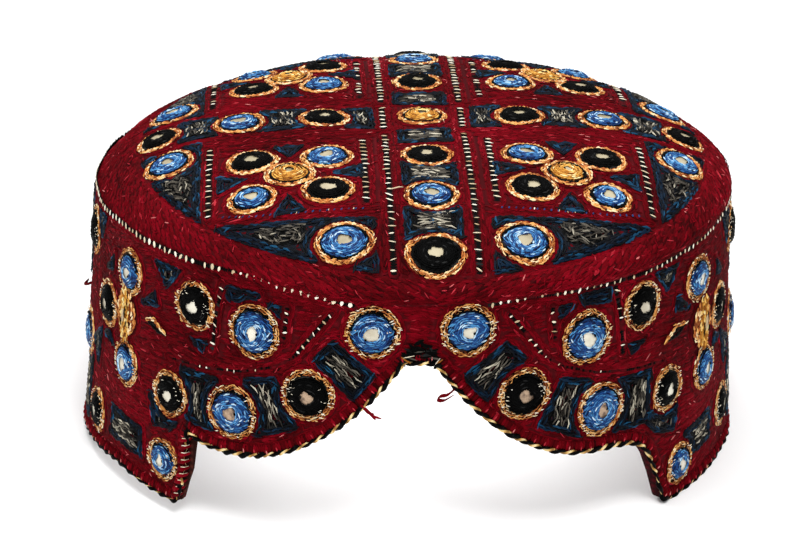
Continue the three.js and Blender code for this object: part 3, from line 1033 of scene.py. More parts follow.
def glint_sides(threads, at, outer, count, reach):
    """Short bright strands of painted highlight at the left and right of a rosette, between two shares of its
    radius.
    """
    angle = rng.normal(0, 0.5, count) + math.pi * rng.integers(0, 2, count)
    radius = outer * rng.uniform(*reach, count)
    length = rng.uniform(0.25, 0.6, (count, 1, 1)) * np.linspace(-1, 1, FEW)[:, None]
    strand = np.stack([np.ones(count), rng.normal(0, 0.25, count)], 1)[:, None] * length
    points = about(at, radius, angle)[:, None] + strand
    lift = np.interp(radius / outer, *RING_LIFT)[:, None] + 0.3
    threads.add(points, width=0.27, lift=lift, height=0.2, shade=rng.uniform(0.6, 1, count))


def add_glints(stock, at, radius, kind):
    """The bright strands of painted highlight on one of the band's rosettes."""
    outer = radius - ON_BAND["rim"] - ON_BAND["outline"]
    glint_sides(stock["cream"], at, outer * 0.95, 14 if kind == "black" else 5, FILL_REACH)
    glint_sides(stock["cream"], at, radius, 18, RING_REACH)
    glint_sides(stock["gold"], at, radius, 26, RING_REACH)


def band_rosettes():
    """Chart place, radius and thread of each of the band's rosettes."""
    front = [(-left[0], left[1], *rest) for left, right, *rest in BAND_ROSETTES]
    front += [(*right, *rest) for left, right, *rest in BAND_ROSETTES]
    behind = [(180 - a, *rest) for a, *rest in front]
    low = [(side * a, *rest) for a, *rest in BACK_ROSETTES for side in (-1, 1)]
    found = []
    for angle, rise, size, kind in front + FLAP_ROSETTES + behind + low:
        turn = math.radians((angle + 180) % 360 - 180)
        found.append((turn * CHART_RADIUS, rise * RIM_HEIGHT, BAND_ROSETTE * size, kind))
    return found


# The hem as one closed line of the unrolled band


def front_half(flap):
    rows = [(0, NOTCH_HEIGHT), (NOTCH_HALF_ANGLE * 0.8, NOTCH_HEIGHT)]
    for angle in np.linspace(NOTCH_HALF_ANGLE, SCALLOP_FOOT_ANGLE, 20):
        share = (angle - NOTCH_HALF_ANGLE) / (SCALLOP_FOOT_ANGLE - NOTCH_HALF_ANGLE)
        rows.append((angle, SCALLOP_LOW + (SCALLOP_START - SCALLOP_LOW) * (1 - share) ** SCALLOP_POWER))
    return rows + [(angle, rise * SCALLOP_LOW) for angle, rise in flap]


def hem_line():
    right = front_half(FLAP_RIGHT) + [(a, 0) for a in np.arange(90, 181, 4.5)]
    left = [(-a, z) for a, z in front_half(FLAP_LEFT) + [(a, 0) for a in np.arange(90, 180, 4.5)]]
    rows = left[:0:-1] + right
    return [(math.radians(a) * CHART_RADIUS, z) for a, z in rows]


HEM = hem_line()
HALF_TURN = math.pi * CHART_RADIUS
DEGREE = CHART_RADIUS * math.pi / 180


# Corners in degrees from the notch, or from the back's middle, and millimetres up
BAND_BOWS = [
    [(7.2, 51.8), (14.5, 60.8), (18.2, 54.7), (11, 43.5)],
    [(30.2, 46.2), (24.2, 48.2), (20, 35), (28.6, 28.8)],
    [(44, 43.8), (34.9, 44.2), (34.6, 28.2), (43.4, 28.8)],
    [(52.2, 31.5), (50.3, 21.5), (45.4, 23.6), (42.4, 28.4), (43, 32)],
    [(53.4, 19.4), (64.2, 20.4), (64.6, 10.4), (53.2, 10.2)],
    [(44, 70.9), (51.8, 70.4), (47.8, 63.6)],
    [(70, 39.5), (72.5, 26), (76.5, 33)],
    [(70, 73.5), (75.5, 72.5), (73, 63)],
    [(86, 72), (94, 72), (94, 46), (86, 46)],
    [(77, 26), (84.5, 26), (84.5, 5), (79, 5)],
]
BAND_DARTS = [
    [(51, 61.4), (55.8, 54.8), (49.8, 57)],
    [(66.3, 58), (70, 57), (66, 64)],
    [(66.3, 41), (64, 35.5), (69.5, 38)],
    [(34.2, 70.8), (27, 70.4), (28, 67), (34, 66.4)],
    [(26.8, 68.6), (23.2, 68.2), (23.6, 64.4), (25, 65.6)],
    [(37.4, 53.6), (42.4, 53), (38.6, 49.4)],
]
BRAIDED_BOWS = [corners for corners in BAND_BOWS if len(corners) == 4]
BACK_BOWS = [(138, 12.5), (152, 13.6), (166, 18), (180, 22)]  # their middles
BACK_BOW = (3, 6)  # half their width in degrees, and half their height
# A leaf's first end, upper edge, last end and lower edge, on the left and on the right
LEAVES = {
    -1: [(52.9, 53.2), (50.4, 54.2), (47.1, 51.4), (49.7, 51.2)],
    1: [(53.9, 50.7), (49.8, 51.2), (46.8, 48), (51.1, 48.2)],
}
FRONT_HALF, BACK_TOP = 100, 26  # the front's bows run this far round, and behind it they end at this height


# Degrees round the front, and how far the pattern stands above its drawn place there
SAG = (-90, -60, -45, -30, 30, 40, 60, 90), (0, 1.6, 0.6, 0.3, -0.5, -1.5, -1.6, 0)


def sag(s):
    return np.interp(s / DEGREE, *SAG)


def folded(s, z):
    """The band's four quarters laid over one another."""
    aside, up = (BAND_WANDER * smooth_noise(s, z, *wave) for wave in BAND_WANDERS)
    x = np.abs(s + aside)
    return np.minimum(x, HALF_TURN - x), z - sag(s) + up


def quarters(corners):
    """A shape of the front half, in degrees, as four shapes round the whole band."""
    found = []
    for side in (-1, 1):
        for turned in (False, True):
            along = [side * (180 - a if turned else a) * DEGREE for a, b in corners]
            found.append([(s, b + sag(s)) for s, (a, b) in zip(along, corners)])
    return found


# Lines in degrees and millimetres, then the pitch, half the width, the cream stitches' width and share, and
# the black ones' share
BAND_LADDERS = [
    ([(35, 70.5), (36.2, 62), (36.8, 50.8)], 2.7, 0.8, 0.4, 0.7, 0.7),
    ([(22.4, 68), (23, 58.8)], 2.7, 0.8, 0.45, 0.9, 0.7),
    ([(14.7, 68.2), (17.2, 63), (21, 54.8)], 2.3, 0.6, 0.5, 0.85, 0.8),
    ([(21, 54.8), (24.5, 51), (30.5, 47.6), (38, 45.6), (47, 44.2)], 2.3, 0.42, 0.4, 0.35, 0.5),
]
# The row along the crown's seam, on the left and on the right
SEAM = {
    -1: [(11, 70.8), (20, 73), (28, 74.5), (36, 75), (60, 75.2), (120, 74.4), (160, 72), (170, 70.6)],
    1: [
        (11, 70.8), (18, 71.6), (28, 71.2), (36, 70.6), (46, 70.6),
        (60, 71.4), (90, 73), (160, 72), (170, 70.6),
    ],
}
SEAM_SIZES = {-1: (2.3, 0.85, 0.95, 0.95, 0.95), 1: (2.3, 0.66, 0.68, 0.85, 0.9)}  # as a ladder's
SEAM_HALF = 0.7  # half the width that the red ground leaves for it


def above_hem(s, z):
    """How far places are above the hem's binding."""
    far, high = HALF_TURN + 20, 200
    return -polygon(s, z, [(-far, 0), *HEM, (far, 0), (far, high), (-far, high)]) - BINDING_HEIGHT


def back_bows(s, z):
    wide, tall = BACK_BOW
    return union([
        box(np.abs(s), z, ((a - wide) * DEGREE, b - tall), ((a + wide) * DEGREE, b + tall))
        for a, b in BACK_BOWS
    ])


def band_fields():
    """The band's distance fields, as the crown's."""
    low = (-HALF_TURN - 4, -2)
    s, z = np.meshgrid(np.arange(low[0], HALF_TURN + 4, CELL), np.arange(low[1], RIM_HEIGHT + 3, CELL))
    x, y = folded(s, z)

    def inside(shapes):
        return -union([polygon(x, y, unrolled(corners)) for corners in shapes])

    edge, top = above_hem(s, z), RIM_HEIGHT - 0.6 - z
    rosettes = union([
        circle(s, z, (a + turn * HALF_TURN, b), radius)
        for a, b, radius, _ in band_rosettes()
        for turn in (-2, 0, 2)
    ])
    off_red, off_teal, off_olive = (rosettes - gap for gap in BAND_GAPS)
    front = (np.abs(s) < FRONT_HALF * DEGREE) | (z > BACK_TOP)
    bows = np.where(front, inside(BAND_BOWS), -back_bows(s, z))
    teal = union([np.maximum(bows, inside(BAND_DARTS)), off_teal, edge - 0.8, top - 2])
    olive = union([bows - 1.6, off_olive, teal - 1])
    lines = [to_line(x, y, unrolled(line)) - half for line, _, half, *_ in BAND_LADDERS]
    lines += [to_line(side * s, z, unrolled(SEAM[side])) - SEAM_HALF for side in (-1, 1)]
    ground = union([off_red, -teal, edge, top, *lines])
    grain = z + 3 * smooth_noise(s, z, *GRAIN_WAVES) + 20
    return (low, CELL), ground, grain, 0 * grain, teal, olive, -inside(BRAIDED_BOWS)


# Shells under the stitches


def crown_shell():
    """The crown's cloth: outer face, edge, seat on the band and inner face."""
    edge = RIM_RADIUS + np.linspace(0.5, CROWN_WALL, 3)
    angle = np.linspace(0, 2 * math.pi, 180, endpoint=False)

    def rings(radii, lift):
        u, v = np.outer(radii, np.cos(angle)) - PATTERN_SHIFT, np.outer(radii, np.sin(angle))
        return crown_place(u, v, lift)

    outer = rings(np.append(np.linspace(1, RIM_RADIUS, 60), edge), GROUND)
    inner = rings(np.linspace(RIM_RADIUS - CROWN_WALL, 1, 30), -CROWN_WALL)
    seat = inner[:1].copy()
    seat[..., 2] = RIM_HEIGHT - CROWN_WALL
    mesh = surface("crown_cloth", np.concatenate([outer, seat, inner]))
    dress(mesh, GROUND_CLOTH, "crown_cloth", ["crown_panel"])


def band_shell():
    """The band's cloth, a closed wall from above the hem's binding to under the crown."""
    line = np.array(HEM[:-1])
    along = distances(line)
    foot = points_at(line, along, np.linspace(0, along[-1], 420, endpoint=False))
    step = np.roll(foot, -1, axis=0) - foot
    step[-1] = (1, 0)
    s, z = (foot + square_to(unit(step)) * BINDING_HEIGHT).T
    heights = z + (RIM_HEIGHT - CROWN_WALL - z) * np.linspace(0, 1, 16)[:, None]
    outer = band_place(s, heights, GROUND)
    inner = band_place(s, heights, -BAND_WALL)[::-1]
    mesh = surface("band_cloth", np.concatenate([outer, inner, outer[:1]]), turned=True)
    dress(mesh, GROUND_CLOTH, "band_cloth", ["side_band"])


# The hem

HEM_STEP = 0.4
HEM_SMOOTHING = 5  # steps over which its corners are rounded
# Corners of the padded edge's section: inset from the hem, and lift
EDGE_SECTION = [(0.5, 0.1), (2.5, -0.1), (2.5, -3.7), (0.5, -3.7), (0.05, -3.2), (0.05, -0.3)]
CORD_PITCH = 5.2
CORD_ORBIT = 0.34
CORD_INSET = 0.2
CORD_LIFT = 0.25
CORD_SIDES = 7
# Name, thread, place in the twist, radius, and its share of that radius on the flaps and the back
CORD_PLIES = [("hem_cord_black", BLACK, 0.0, 0.62, 0.85), ("hem_cord_gold", STRAW, math.pi, 0.36, 0.4)]
LOW_HEM = 10  # the flaps and the back lie below this height
FLAP_EDGE = -41.3  # degrees; the left flap's front edge, whose cord is hidden by whipping
HEM_PITCH = 0.8  # between the hem's red stitches
HEM_LIFT = (0.6, 0.75, 0.65, 0.35)
WRAP_PITCH = 3.6  # between the thicker turns, on which their tone is lighter as painted highlight
# The facing's corners: whether at the outer side, and lift
FACING_CORNERS = ((False, -2.6), (False, -0.9), (True, -1.1), (True, -1.9), (False, -2.6))
FACING_REACH, FACING_INNER = 2.1, -1.2  # from the flap's edge
# A whipping stitch's points from the flap's edge: aside, up, lift
WHIP_PATH = ((-2.6, -0.5, 0.3), (-1.2, -0.2, 0.9), (0.1, 0, 0.7), (0.45, 0, -0.6), (0.4, 0, -2.6))
WHIP_HEIGHTS = (6.5, 25, 2.15)  # from, to, pitch
STRAND_STEPS, STRAND_SIDES = 16, 6


def hem_path(inset=0):
    """Even steps along the hem: places set in from it, the ways into the band, and distances."""
    line = np.array(HEM)
    along = distances(line)
    marks = np.arange(0, along[-1], HEM_STEP)
    at = points_at(line, along, marks)
    kernel, side = np.ones(HEM_SMOOTHING) / HEM_SMOOTHING, HEM_SMOOTHING // 2
    at[side:-side] = np.stack([np.convolve(values, kernel, "valid") for values in at.T], 1)
    inward = square_to(unit(np.gradient(at, axis=0)))
    return at + inward * inset, inward, marks


def hem_edge():
    """The padded edge that the hem's stitches wrap."""
    rows = [band_place(*hem_path(inset)[0].T, lift) for inset, lift in EDGE_SECTION + EDGE_SECTION[:1]]
    dress(surface("hem_padding", rows), EDGE_CLOTH, "hem_thread", ["hem_binding"])


def hem_cord():
    """Two twisted plies, black and gold, along the hem's outer edge."""
    at, inward, along = hem_path(CORD_INSET)
    s, z = at.T
    uneven = 1.2 * smooth_noise(along, 0, *CORD_TURNS)
    lumps = 1 + 0.3 * smooth_noise(along, 0, *CORD_LUMPS)
    orbit = CORD_ORBIT * np.where(z < LOW_HEM, 0.6, 1)
    whipped = (np.abs(s - FLAP_EDGE * DEGREE) < 1.2) & (z > 2) & (z < 22)
    angle = np.linspace(0, 2 * math.pi, CORD_SIDES)[:, None]
    for name, material, phase, radius, low in CORD_PLIES:
        turn = along / CORD_PITCH * 2 * math.pi + phase + uneven
        radius = radius * np.where(whipped, 0.1, np.where(z < LOW_HEM, low, 1)) * lumps
        out = np.cos(turn) * orbit + np.cos(angle + turn) * radius
        into = np.sin(turn) * orbit + np.sin(angle + turn) * radius
        rows = band_place(s + inward[:, 0] * into, z + inward[:, 1] * into, out + CORD_LIFT)
        rows[..., 2] = np.maximum(rows[..., 2], 0.02)
        mesh = surface(name, rows, wrap=False)
        thread_places(mesh, along, angle / math.pi - 1, 0.5 + 0.4 * np.sin(along * 1.7))
        dress(mesh, material, "hem_thread")


def sew_hem():
    """Short red stitches square to the hem, lighter on the thicker turns as painted highlight, with thin
    bright ones of painted highlight on those turns.
    """
    red = Threads("hem_red", band_place, RED, "hem_thread")
    line, inward, along = hem_path()
    marks = np.arange(HEM_PITCH, along[-1], HEM_PITCH)
    marks = marks + rng.normal(0, 0.08, len(marks))
    at, into = (points_at(values, along, marks)[:, None] for values in (line, inward))
    reach = np.linspace(0.6, 3.0, POINTS)[:, None] + rng.normal(0, 0.12, (len(at), 1, 1))
    wrap = np.cos(marks / WRAP_PITCH * 2 * math.pi + 2 * smooth_noise(marks, 0, *WRAP_WAVES))
    # the tone rises on each thicker turn: painted highlight
    tone = np.clip(0.34 + 0.16 * wrap + rng.normal(0, 0.12, len(at)), 0, 0.95)
    red.add(at + into * reach, width=0.9, lift=HEM_LIFT + 0.12 * wrap[:, None], height=0.35, shade=tone)
    # thin pink strands of painted highlight on the turns' crests
    bright = wrap > 0.8
    count = bright.sum()
    short = np.linspace(0.9, 2.0, FEW)[:, None] + rng.normal(0, 0.2, (count, 1, 1))
    shade = rng.uniform(0.9, 1, count)
    red.add(at[bright] + into[bright] * short, width=0.4, lift=1.15, height=0.2, shade=shade)
    red.make()


def strands(name, paths, thickness, material, slot):
    """Thin tapered tubes along points of the unrolled band with their lifts, joined in one mesh."""
    vertices, faces, thread = [], [], []
    angle = np.linspace(0, 2 * math.pi, STRAND_SIDES)[:, None]
    for points in paths:
        last = len(points) - 1
        fine = np.linspace(0, last, STRAND_STEPS)
        path = points_at(np.array(points), np.arange(last + 1), fine).T
        s, z, lift = (np.convolve(np.pad(c, 1, "edge"), (0.25, 0.5, 0.25), "valid") for c in path)
        radius = thickness / 2 * np.interp(fine, (0, (last + 1) * 0.6, last), (1, 0.9, 0.3))
        sway = radius * np.cos(angle)
        rows = band_place(s + 0.5 * sway, z + sway, lift + radius * np.sin(angle))
        faces.append(grid_faces(*rows.shape[:2], False) + sum(map(len, vertices)))
        vertices.append(rows.reshape(-1, 3))
        values = np.broadcast_arrays(fine, 0 * angle, rng.uniform(0.3, 0.8))
        thread.append(np.stack(values, -1).reshape(-1, 3))
    mesh = mesh_from(name, np.concatenate(vertices), np.concatenate(faces))
    thread_places(mesh, *np.concatenate(thread).T)
    dress(mesh, material, slot)


def face_flap(s, z):
    """The brown facing that shows beyond the left flap's front edge, wider towards its top."""
    heights = np.linspace(4.5, 23.5, 12)
    edge = np.interp(heights, z[::-1], s[::-1])
    reach = FACING_REACH * heights / heights[-1]
    sides = {True: edge + reach, False: edge + FACING_INNER}
    rows = [band_place(sides[outer], heights, lift) for outer, lift in FACING_CORNERS]
    dress(surface("flap_facing", rows, wrap=False, turned=True), LINING, "lining_cloth")


def whip_flap():
    """Thick stitches wrapped round the left flap's front edge, each with a cream strand beside it as a
    painted highlight.
    """
    edge = [(-math.radians(a) * CHART_RADIUS, rise * SCALLOP_LOW) for a, rise in FLAP_LEFT[1:4]]
    s, z = np.array(edge).T
    red, cream = [], []
    for height in np.arange(*WHIP_HEIGHTS):
        at = np.interp(height, z[::-1], s[::-1])
        red.append([(at + aside, height + up, lift) for aside, up, lift in WHIP_PATH])
        # a cream strand over each whip: painted highlight
        cream.append([(a + 0.1, b + 0.65, c + 0.1) for a, b, c in red[-1][1:4]])
    face_flap(s, z)
    strands("flap_whip_red", red, 1.3, RED, "hem_thread")
    strands("flap_whip_painted_highlight", cream, 0.26, CREAM, "hem_thread")


# Points along each loose thread: chart place and lift
LOOSE = [
    [(-15.4, 43.6, 0.2), (-13.4, 42.6, 1.0), (-11.6, 41.0, 1.2), (-9.4, 40.4, 1.2)],
    [(-15.0, 43.2, 0.2), (-13.0, 41.8, 1.0), (-11.4, 41.6, 1.5)],
    [(-14.6, 43.0, 0.1), (-12.4, 41.2, 0.6), (-11.0, 39.9, 0.8)],
    [
        (9.6, 48.4, 0.2), (7.4, 46.8, 1.0), (5.4, 46.9, 1.3),
        (4.6, 45.8, 1.3), (6.4, 45.2, 1.0), (9.4, 46.6, 0.2),
    ],
    [(-141.0, 42.0, 0.1), (-142.0, 41.0, 1.4), (-143.4, 40.6, 1.9), (-144.0, 42.0, 1.0)],
]


def loose_threads():
    strands("loose_threads_thin", LOOSE[:3], 0.7, RED, "band_cloth")
    strands("loose_threads_thick", LOOSE[3:], 1.1, RED, "band_cloth")


DARK_REFLECTION_BELOW, DARK_REFLECTION_WITHIN = 46.5, 40  # the mirrors this low and this near the notch, in degrees, get the brown painted dark reflection
MIRROR_LIFT = 1.1
MIRROR_RADIUS = 3.1
MIRROR_SIDES = 14
MIRROR_TILT = 0.06


def band_mirrors(name, material, worn_or_dark_reflection):
    """The band's mirror discs, those with the painted dark reflection or the others, each set a little askew
    in its rosette.
    """
    vertices, faces = [], []
    side = np.arange(MIRROR_SIDES)
    angle = np.linspace(0, 2 * math.pi, MIRROR_SIDES, endpoint=False)
    disc = np.stack([side, (side + 1) % MIRROR_SIDES, 0 * side + MIRROR_SIDES], 1)
    for a, b, radius, kind in band_rosettes():
        # the low front mirrors get the painted dark reflection, the others the bright one
        if kind == "knot" or worn_or_dark_reflection != (b < DARK_REFLECTION_BELOW and abs(a) < DARK_REFLECTION_WITHIN * DEGREE):
            continue
        size = MIRROR_RADIUS * radius / BAND_ROSETTE
        x, y = np.append(size * np.cos(angle), 0), np.append(size * np.sin(angle), 0)
        tilt = rng.uniform(-MIRROR_TILT, MIRROR_TILT, 2)
        faces.append(disc + sum(map(len, vertices)))
        vertices.append(band_place(a + x, b + y, MIRROR_LIFT + tilt[0] * x + tilt[1] * y))
    mesh = mesh_from(name, np.concatenate(vertices), np.concatenate(faces))
    mesh.shade_flat()
    dress(mesh, material, "mirror_glass")


# Filling the charts

RING_ROWS = 1.55  # the ground's rows run round every shape as far as this, and straight beyond
ROWS_OVERLAP = 0.6
RED_STITCH, TEAL_STITCH, OLIVE_STITCH = 2.4, 2.2, 2
TEAL_ROW, OLIVE_ROW = 0.62, 0.7
# share of the ground's stitches that get a short pink strand of painted highlight
GLINT_SHARE = 0.11
CHAIN_FIRST, CHAIN_ROW, CHAIN_DEPTH = 0.45, 0.95, 1.7  # of the chains along a patch's edge
OLIVE_DENSITY = 1.15  # strands on a square millimetre
OLIVE_LENGTH = 2.2


def strewn(chart, field):
    """Short stitches strewn where the field is well above zero, most of them along its contours."""
    low, cell = chart
    rows, cols = np.nonzero(field > 0.2)
    count = int(len(rows) * cell * cell * OLIVE_DENSITY)
    pick = rng.integers(0, len(rows), count)
    rows, cols = rows[pick], cols[pick]
    slope_v, slope_u = (slope[rows, cols] for slope in np.gradient(field))
    turn = np.arctan2(slope_v, slope_u) + math.pi / 2 + rng.normal(0, 0.42, count)
    middle = np.stack([cols, rows], 1) * cell + low + rng.uniform(-cell, cell, (count, 2)) / 2
    reach = OLIVE_LENGTH * rng.uniform(0.6, 1.2, (count, 1, 1)) * np.linspace(-0.5, 0.5, FEW)[:, None]
    return middle[:, None] + np.stack([np.cos(turn), np.sin(turn)], 1)[:, None] * reach


def lay_red(red, chart, ground, grain, slant, keep):
    """The ground's rows round every shape and straight beyond, with short pink strands of painted highlight
    across them.
    """
    near = rows_of_stitches(chart, np.minimum(ground, RING_ROWS), ROW, RED_STITCH)
    far = rows_of_stitches(chart, grain, ROW, RED_STITCH)
    far = far[sample(ground, chart, far).min(1) > RING_ROWS - ROWS_OVERLAP]
    far = rotated(far, sample(slant, chart, far)[:, 1])
    stitches = swayed(keep(np.concatenate([near, far])), 0.09)
    count = len(stitches)
    tone = 0.4 + 0.15 * smooth_noise(*stitches[:, 1].T, *RED_WAVES) + rng.normal(0, 0.15, count)
    lift, width = rng.uniform(0, 0.22, (count, 1)), THREAD * rng.uniform(0.95, 1.3, count)
    red.add(stitches, width=width, lift=lift, height=0.2, shade=np.clip(tone, 0, 0.92))
    # short pink copies turned across some stitches: painted highlights
    glints = stitches[rng.uniform(size=count) < GLINT_SHARE]
    turn = rng.uniform(0.2, 0.8, len(glints)) * rng.choice([-1, 1], len(glints))
    centre = glints.mean(1, keepdims=True)
    glints = rotated(centre + (glints - centre) * 0.5, turn)
    shade = rng.uniform(0.7, 1, len(glints)) ** 1.5
    red.add(glints, width=0.28, lift=0.32, height=0.15, shade=shade)


def lay_patches(stock, chart, teal, olive, keep):
    """The teal patches with chains along their edges, and a dark ground for the olive in them."""
    stitches = keep(rows_of_stitches(chart, teal, TEAL_ROW, TEAL_STITCH))
    shade = rng.uniform(0, 0.6, len(stitches))
    stock["teal"].add(stitches, width=0.95, lift=0, height=0.35, shade=shade)
    stitches = keep(rows_of_stitches(chart, olive, OLIVE_ROW, OLIVE_STITCH))
    stock["black"].add(stitches, width=1.0, lift=0.15, height=0.3)
    sizes = {"step": 1.7, "width": 0.9, "thickness": 0.58, "lift": 0.35, "height": 0.45, "missing": 0.15}
    for level in np.arange(CHAIN_FIRST, CHAIN_DEPTH, CHAIN_ROW):
        for line in contours(np.minimum(teal, CHAIN_DEPTH), chart, level):
            if keep(line[None, :POINTS]).size:
                chain(stock["teal"], line, **sizes)


def lay_olive(threads, chart, olive, braided, braids, keep):
    """The olive chains along the braids, and strands strewn over them."""
    sizes = {"step": 1.9, "width": 1.3, "thickness": 0.42, "lift": 0.5, "height": 0.4, "missing": 0.1}
    for line in braids:
        chain(threads, line, inside=lambda points: sample(olive, chart, points).min(1) > 0, **sizes)
    over = keep(strewn(chart, np.minimum(olive, braided)))
    width, lift = rng.uniform(0.28, 0.5, len(over)), rng.uniform(0.35, 0.6, (len(over), 1))
    threads.add(over, width=width, lift=lift, height=0.35, shade=rng.beta(2, 2.4, len(over)))


def everywhere(stitches):
    return stitches


def lay_ground(stock, fields, braids, keep=everywhere):
    """Fills a chart: the red rows, the teal patches and the olive strands in them."""
    chart, ground, grain, slant, teal, olive, braided = fields
    lay_red(stock["red"], chart, ground, grain, slant, keep)
    lay_patches(stock, chart, teal, olive, keep)
    lay_olive(stock["olive"], chart, olive, braided, braids, keep)


THREAD_COLOURS = {
    "red": RED,
    "teal": TEAL,
    "olive": OLIVE,
    "blue": BLUE,
    "black": BLACK,
    "gold": GOLD,
    "knot": KNOT,
    "cream": CREAM,
}
WORN_LADDER = {"cream": 0.3, "keep": 0.5, "dark": 0.6}
FAINT_LADDER = {"pitch": 2.2, "half": 0.5, "cream": 0.3, "keep": 0.3, "dark": 0}


def stock_for(prefix, place, slot):
    """The threads of one chart, one mesh for each colour."""
    return {key: Threads(f"{prefix}_{key}", place, made, slot) for key, made in THREAD_COLOURS.items()}


def make_stock(stock):
    for threads in stock.values():
        threads.make()


def sew_crown():
    stock = stock_for("crown", crown_place, "crown_cloth")
    lay_ground(stock, crown_fields(), crown_braids())
    for a, b, radius, kind in crown_rosettes():
        drawn_in = {key: Oval(threads, (a, b)) for key, threads in stock.items()}
        rosette(drawn_in, ON_CROWN, (a, b), radius, kind)
    for line in CROWN_LADDERS:
        for side in (-1, 1):
            ladder(stock, [(side * a, -b) for a, b in line])
            worn_or_dark_reflection = {} if line[0][0] == STRIP_EDGE else WORN_LADDER
            ladder(stock, [(side * a, b) for a, b in line], **worn_or_dark_reflection)
    for sx in (-1, 1):
        for sy in (-1, 1):
            line = [(sx * a, sy * b) for a, b in FAINT_ROW]
            ladder(stock, line, **FAINT_LADDER)
            at, direction = walk(line, 1.9)
            ticks, shade = bars(at, direction, 0.45, 0.4, FEW), rng.uniform(0, 0.25, len(at))
            stock["blue"].add(ticks, width=0.55, lift=0.3, height=0.25, shade=shade)
    stock["cream"].add([PALE_STRAND], width=0.35, lift=1.0, height=0.25, shade=0.2)
    make_stock(stock)


def once_round(stitches):
    """The stitches on the band's chart proper, without those that overlap its ends."""
    return stitches[np.abs(stitches[:, 1, 0]) <= HALF_TURN]


def sew_band():
    stock = stock_for("band", band_place, "band_cloth")
    lay_ground(stock, band_fields(), band_braids(), once_round)
    for a, b, radius, kind in band_rosettes():
        if kind == "knot":
            sew_knot(stock, (a, b))
        else:
            rosette(stock, ON_BAND, (a, b), radius, kind)
            add_glints(stock, (a, b), radius, kind)
    for line, *sizes in BAND_LADDERS:
        for placed in quarters(line):
            ladder(stock, placed, *sizes)
    for side in (-1, 1):
        ladder(stock, [(side * a, b) for a, b in unrolled(SEAM[side])], *SEAM_SIZES[side])
    sew_notch(stock)
    for side in (-1, 1):
        sew_leaf(stock, side)
    make_stock(stock)


NOTCH_STITCHES = 64
NOTCH_REACH, NOTCH_RISE = 5.2, 5.5


def sew_notch(stock):
    """The oversewn point of the notch, dark with a few pale strands."""
    count = NOTCH_STITCHES
    aside = rng.uniform(-1, 1, count)
    rise = rng.uniform(0, 1, count) * (1 - np.abs(aside) * 0.75)
    height = NOTCH_HEIGHT + 1 + rise * NOTCH_RISE - 3.4 * np.clip(np.abs(aside) - 0.5, 0, 1)
    at = np.stack([aside * NOTCH_REACH, height], 1)
    turn = rng.normal(0, 0.5, count)
    heading = np.stack([np.cos(turn), np.sin(turn)], 1)
    black = at[:, None] + heading[:, None] * np.linspace(-1.5, 1.5, POINTS)[:, None]
    width, lift = rng.uniform(0.7, 1.1, count), rng.uniform(0.5, 0.9, (count, 1))
    stock["black"].add(black, width=width, lift=lift, height=0.5)
    stock["olive"].add(black[:4] + 0.4, width=0.4, lift=1.1, height=0.4, shade=0.5)
    stock["knot"].add(black[9:11] + (0.3, 0.2), width=0.6, lift=1.1, height=0.4, shade=0.1)
    stock["cream"].add(black[14:16], width=0.22, lift=1.3, height=0.3)


def sew_leaf(stock, side):
    """A small black leaf with a gold edge, on either side of the front."""
    first, upper, last, lower = np.array([(side * a, b) for a, b in unrolled(LEAVES[side])])
    share = np.linspace(0.05, 0.95, 9)[:, None]
    for edge in (lower, (upper + lower) / 2, upper):
        rise, fall = first + (edge - first) * share * 2, edge + (last - edge) * (share * 2 - 1)
        bend = np.where(share < 0.5, rise, fall)
        if edge is upper:
            chain(stock["gold"], bend, step=1.3, width=0.9, thickness=0.5, lift=0.75, height=0.4)
        else:
            stock["black"].add(cut(bend, 2, gap=0.2), width=1.2, lift=0.5, height=0.4)


def dress_nodes():
    """The solids' mirrors and lining, in their materials."""
    for name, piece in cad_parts.items():
        if name.startswith("crown_mirror") or name == "band_lining":
            piece.data.materials.clear()
            piece.data.materials.append(LINING if name == "band_lining" else MIRROR)


# Stage, lamps and camera

WORLD_LIGHT = 0.45
# Name, place in metres, size, power in watts, and the point it faces
LAMPS = [
    ("overhead", (0, 0.7, 2.1), 2.6, 40, (0, 0.5, 0)),
    ("key", (0.1, -0.7, 1.15), 0.4, 9, (0, 0, 0.05)),
    ("side", (-1.0, -0.5, 0.7), 0.5, 3, (0, 0, 0.05)),
    ("inside", (0, 0, 0.062), 0.1, 0.12, (0, 0, 0)),
]
FLOOR_SIZE, PALE = 8, (0.95, 0.95, 0.95, 1)


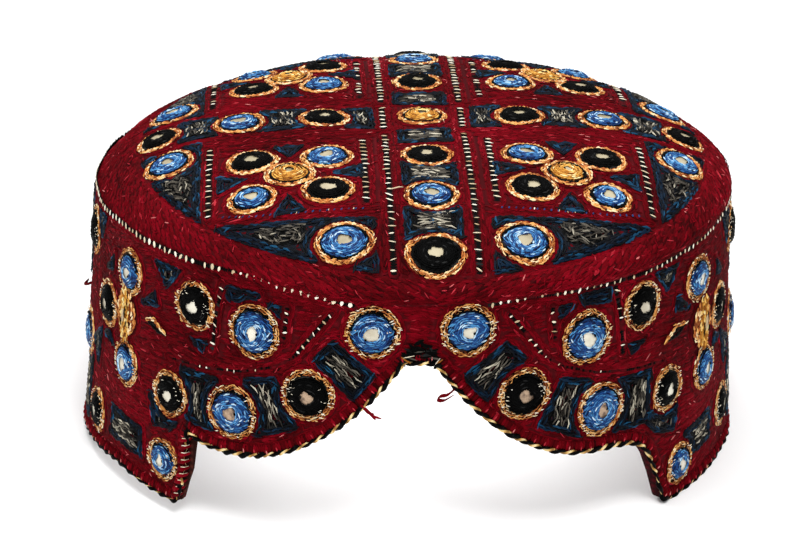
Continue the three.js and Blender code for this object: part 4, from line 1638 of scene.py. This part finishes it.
def stage():
    bpy.ops.mesh.primitive_plane_add(size=FLOOR_SIZE, location=(0, 0, 0))
    floor = bpy.context.object
    floor.name = "floor"
    floor.data.materials.append(new_material("pale_floor", Base_Color=PALE, Roughness=0.95)[0])
    scene = bpy.context.scene
    scene.view_settings.view_transform = "Standard"
    scene.world = bpy.data.worlds.new("studio")
    scene.world.use_nodes = True
    background = scene.world.node_tree.nodes["Background"]
    background.inputs["Color"].default_value = (1, 1, 1, 1)
    background.inputs["Strength"].default_value = WORLD_LIGHT
    for name, place, size, power, target in LAMPS:
        light = bpy.data.lights.new(name, "AREA")
        light.energy, light.size = power, size
        lamp = bpy.data.objects.new(name, light)
        lamp.location = place
        lamp.rotation_euler = direction_to(place, target)
        scene.collection.objects.link(lamp)


def direction_to(place, target):
    return (Vector(target) - Vector(place)).to_track_quat("-Z", "Y").to_euler()


AZIMUTH, ELEVATION, DISTANCE = math.radians(-2.35), math.radians(22.67), 843 * MM
FOCAL_PX, AXIS_PX = 2908, (406.5, 265.5)
FRAME_PX = (794, 553)
SENSOR = 36
TARGET = (CAP_X * MM, CAP_Y * MM, 45 * MM)


def camera():
    back = (
        math.sin(AZIMUTH) * math.cos(ELEVATION),
        -math.cos(AZIMUTH) * math.cos(ELEVATION),
        math.sin(ELEVATION),
    )
    place = tuple(t + DISTANCE * b for t, b in zip(TARGET, back))
    data = bpy.data.cameras.new("camera")
    data.sensor_width = SENSOR
    data.lens = SENSOR * FOCAL_PX / FRAME_PX[0]
    data.shift_x = (FRAME_PX[0] / 2 - AXIS_PX[0]) / FRAME_PX[0]
    data.shift_y = (AXIS_PX[1] - FRAME_PX[1] / 2) / FRAME_PX[0]
    piece = bpy.data.objects.new("camera", data)
    piece.location = place
    piece.rotation_euler = direction_to(place, TARGET)
    bpy.context.scene.collection.objects.link(piece)
    bpy.context.scene.camera = piece


camera()
stage()
dress_nodes()
crown_shell()
band_shell()
hem_edge()
hem_cord()
sew_hem()
whip_flap()
sew_crown()
sew_band()
band_mirrors("band_mirrors", BAND_MIRROR, False)
band_mirrors("band_mirrors_painted_dark_reflection", DARK_REFLECTION_MIRROR, True)
loose_threads()
